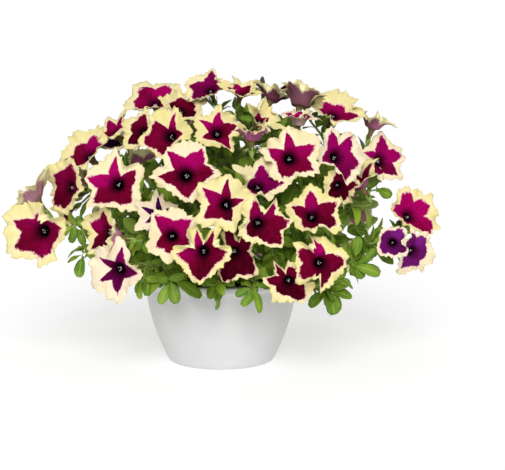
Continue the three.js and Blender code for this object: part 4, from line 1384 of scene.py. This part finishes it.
# The furled buds that stand up between the blooms.
BUDS = [
    {"px": 262, "py": 98, "depth": -0.012, "lean": (0.02, -0.05, 1.0), "length": 23 * MM, "radius": 3.4 * MM},
    {"px": 305, "py": 104, "depth": -0.01, "lean": (0.2, 0.1, 1.0), "length": 19 * MM, "radius": 2.6 * MM},
]


def inner_tips():
    """Leafy tips under the blooms: directions spiral evenly over the dome, each at its own depth in it, and
    those in a bloom or close before one are left out."""
    chance = np.random.default_rng(SEEDS["inner_tips"])
    out = spiral(INNER_TIPS["count"], INNER_TIPS["low"])
    spots = DOME["middle"] + out * DOME["reach"] * chance.uniform(*INNER_TIPS["shares"], (len(out), 1))
    free = ~blocked(spots, blooms, *CLEAR["inner_tip"])
    free &= spots[:, 2] > INNER_TIPS["above"]
    return spots[free], unit(out[free] + 0.4 * UP)


def buds(places):
    """Furled buds: clubs on the stalk, their radius a rising half sine, pleated by a slow five-fold twist."""
    rings, columns = 12, 20
    t = np.linspace(0, 1, rings)
    swell = 0.3 + 0.7 * np.sin(np.clip(t * 1.12, 0, 1.08) ** 1.6 * math.pi * 0.86)
    angle = np.arange(columns) * TURN / columns
    pleats = 1 + 0.13 * np.cos(5 * angle[None] + 4 * t[:, None]) * smooth(t, 0.2, 0.7)[:, None]
    lines = np.array([p["end"] + p["face"] * p["length"] * t[:, None] for p in places])
    radii = np.array([p["radius"] for p in places])[:, None] * swell
    shells = tubes(lines, radii, columns)
    middle = lines[:, :, None]
    return closed(middle + (shells - middle) * pleats[None, :, :, None], along=t[None, :, None])


# The plant

blooms = [bloom_frame(name) for name in sorted(frame["nodes"]) if name.startswith("flower_")]
blooms += peeping_blooms(blooms)
blooms += extra_blooms(blooms)

# Each petal finish takes a painted shade colour for lobes facing down, the usual colour, a bright colour
# painted as light on lobes facing up and also mottled in, and a bluer tint.
petal = petal_finish("velvet_petal", "#3e0009", "#700228", "#a8035f", "#3a0650")
violet_petal = petal_finish("violet_velvet_petal", "#400834", "#601058", "#842488", "#521060")
pollen = anther_finish()
leaf_blade, hairy_stem, furled_bud = leaf_finish(), stem_finish(), bud_finish()
violet_nodes = {s["node"] for s in frame["record"]["subparts"] if s.get("material_slot") == "violet_petal"}

for number, bloom in enumerate(blooms, 1):
    violet = bloom["node"] in violet_nodes
    stamens = {**seated(anthers(number, bloom["size"]), bloom), "finish": 1}
    put(
        f"corolla_{number:02d}",
        [seated(corolla(number, bloom["size"]), bloom), stamens],
        [violet_petal if violet else petal, pollen],
        [bloom["node"]] if bloom["node"] else [],
    )


def targets_of():
    """Everything that a branch has to reach: blooms, leafy tips and buds."""
    ends = []
    for i, bloom in enumerate(blooms):
        ends.append({"end": foot_of(bloom, 3), "face": bloom["face"], "own": i})
    tips = [(on_photo(tip["px"], tip["py"], tip["depth"]), tip) for tip in TIPS]
    for bearing in BACK_TIPS["bearings"]:
        angle = math.radians(90 - bearing)
        out = np.array([math.cos(angle), math.sin(angle), 0])
        tips.append((out * BACK_TIPS["radius"] + UP * BACK_TIPS["height"], {}))
    for end, tip in tips:
        ends.append({"end": end, "face": unit(end * [1, 1, 0] + UP * 20 * MM), "tip": tip})
    for end, face in zip(*inner_tips()):
        ends.append({"end": end, "face": face, "tip": {}})
    for bud in BUDS:
        end = on_photo(bud["px"], bud["py"], bud["depth"])
        ends.append({**bud, "end": end, "face": unit(np.array(bud["lean"])), "bud": True})
    for target in ends:
        flat = math.hypot(*target["end"][:2])
        bearing = math.degrees(math.atan2(target["end"][1], target["end"][0]))
        apart = {name: abs((bearing - b + 540) % 360 - 180) for name, b in SHOOTS.items()}
        high = target["end"][2] > TOP_SHOOT["height"] and flat < TOP_SHOOT["radius"]
        target["shoot"] = TOP_SHOOT["name"] if high else min(apart, key=apart.get)
        target["far"] = np.linalg.norm(target["end"] - TOP_TRUNK[0])
    return sorted(ends, key=lambda target: target["far"])


def tip_leaves(targets, blooms, chance):
    """The leaves of the tips that the photograph shows, spread on the photograph's plane as it has them. One
    that would run into a bloom is left out."""
    rows = [(t["end"], *leaf) for t in targets for leaf in t.get("tip", {}).get("leaves", [])]
    if not rows:
        return []
    root = np.array([row[0] for row in rows])
    angle = np.radians([row[1] for row in rows])[:, None]
    length, width = (np.array([row[i] for row in rows]) * MM for i in (2, 3))
    along = unit(np.sin(angle) * SCREEN_RIGHT + np.cos(angle) * SCREEN_UP - 0.35 * FORWARD)
    probe = root[:, None] + along[:, None] * (np.array([0.3, 0.65, 1.0])[:, None] * length[:, None, None])
    clear = ~blocked(probe, blooms, *CLEAR["tip_leaf"]).any(axis=1)
    root, along, length, width = root[clear], along[clear], length[clear], width[clear]
    count = len(root)
    face = square_to(-FORWARD + 0.5 * UP + chance.normal(0, 0.45, (count, 3)), along)
    root = root + chance.normal(0, 2.5 * MM, (count, 3))
    droop, trough, age = (chance.uniform(*bounds, count) for bounds in ((0.3, 0.8), (0.1, 0.4), (0.3, 1.0)))
    return [blades(root, along, face, length, width, droop, trough, age)]


targets = targets_of()
for order, shoot in enumerate([TOP_SHOOT["name"], *SHOOTS]):
    chance = np.random.default_rng(SEEDS["shoot"] + order)
    mine = [t for t in targets if t["shoot"] == shoot]
    trunk = trunk_line(SHOOTS[shoot]) if shoot in SHOOTS else bezier(TOP_TRUNK)
    lines = grow(trunk, mine, blooms)
    leafy = [False] + ["tip" in t for t in mine]
    stems = [bar(np.array(lines[1:]), ROUTE["radii"], 7, (0.35, 0))]
    stems.append(bar(trunk[None], TRUNK["radii"], 9, (1, 0.4)))
    own_blooms = [blooms[t["own"]] for t in mine if "own" in t]
    if own_blooms:
        stems.append(cups(own_blooms))
    put(shoot + "_stems", stems, [hairy_stem], [shoot])
    greens = [leaves_on(lines, leafy, blooms, chance)] + tip_leaves(mine, blooms, chance)
    if own_blooms:
        greens.append(sepals(own_blooms))
    put(shoot + "_leaves", greens, [leaf_blade])
put("furled_buds", [buds([t for t in targets if "bud" in t])], [furled_bud])

drill_drains(put("bowl_pot", [pot_shell()], [pot_finish()], ["pot"]))
peat = mix_finish()
bark = chip_finish("shredded_bark", "#3b2718", "#7d5a3a")
perlite = chip_finish("expanded_perlite", "#cfcac0", "#f4f2ec")
mix_parts = [
    mix_shell(),
    {**crumbs(230, (3, 9), 0.45, SEEDS["bark"]), "finish": 1},
    {**crumbs(70, (2, 4.5), 0.9, SEEDS["perlite"]), "finish": 2},
]
put("potting_mix_fill", mix_parts, [peat, bark, perlite], ["potting_mix"])
put("root_crown_wood", [crown_shell()], [hairy_stem], ["root_crown"])


# Floor, light and camera


def floor_and_light():
    """A plain white floor, a broad key light high in front, a softer one overhead and a faint white sky."""
    reach = 30.0
    corners = [(-reach, -reach, 0), (reach, -reach, 0), (reach, reach, 0), (-reach, reach, 0)]
    mesh = bpy.data.meshes.new("studio_floor")
    mesh.from_pydata(corners, [], [(0, 1, 2, 3)])
    white, glow = (1, 1, 1, 1), 0.62
    shader = {"Roughness": 0.9, "Base_Color": linear("#bcbcbc"), "Emission_Color": white}
    mesh.materials.append(finished(blank("matt_floor")[0], **shader, Emission_Strength=glow))
    floor = bpy.data.objects.new("studio_floor", mesh)
    bpy.context.scene.collection.objects.link(floor)
    world = bpy.data.worlds.new("white_sky")
    world.use_nodes = True
    sky = world.node_tree.nodes["Background"].inputs
    sky["Color"].default_value = white
    sky["Strength"].default_value = 0.14
    bpy.context.scene.world = world
    for name, angles, strength, soft in (("key", (56, 0, 0), 2.5, 30), ("top", (8, 0, 0), 0.6, 70)):
        lamp = bpy.data.lights.new(name, "SUN")
        lamp.energy = strength
        lamp.angle = math.radians(soft)
        light = bpy.data.objects.new(name, lamp)
        light.rotation_euler = [math.radians(a) for a in angles]
        bpy.context.scene.collection.objects.link(light)


def camera():
    """The photograph's camera: its focal length follows from its distance and the size of a pixel there."""
    lens = bpy.data.cameras.new("photo_camera")
    lens.sensor_width = PHOTO["sensor"]
    lens.lens = PHOTO["sensor"] * CAMERA["distance"] / (PHOTO["pixel"] * PHOTO["width"])
    lens.clip_end = 200
    seen = bpy.data.objects.new("photo_camera", lens)
    seen.location = CAMERA["aim"] - CAMERA["distance"] * FORWARD
    seen.rotation_euler = (TURN / 4 - CAMERA["tilt"], 0, 0)
    bpy.context.scene.collection.objects.link(seen)
    bpy.context.scene.camera = seen


floor_and_light()
camera()
bpy.context.scene.view_settings.view_transform = "Standard"
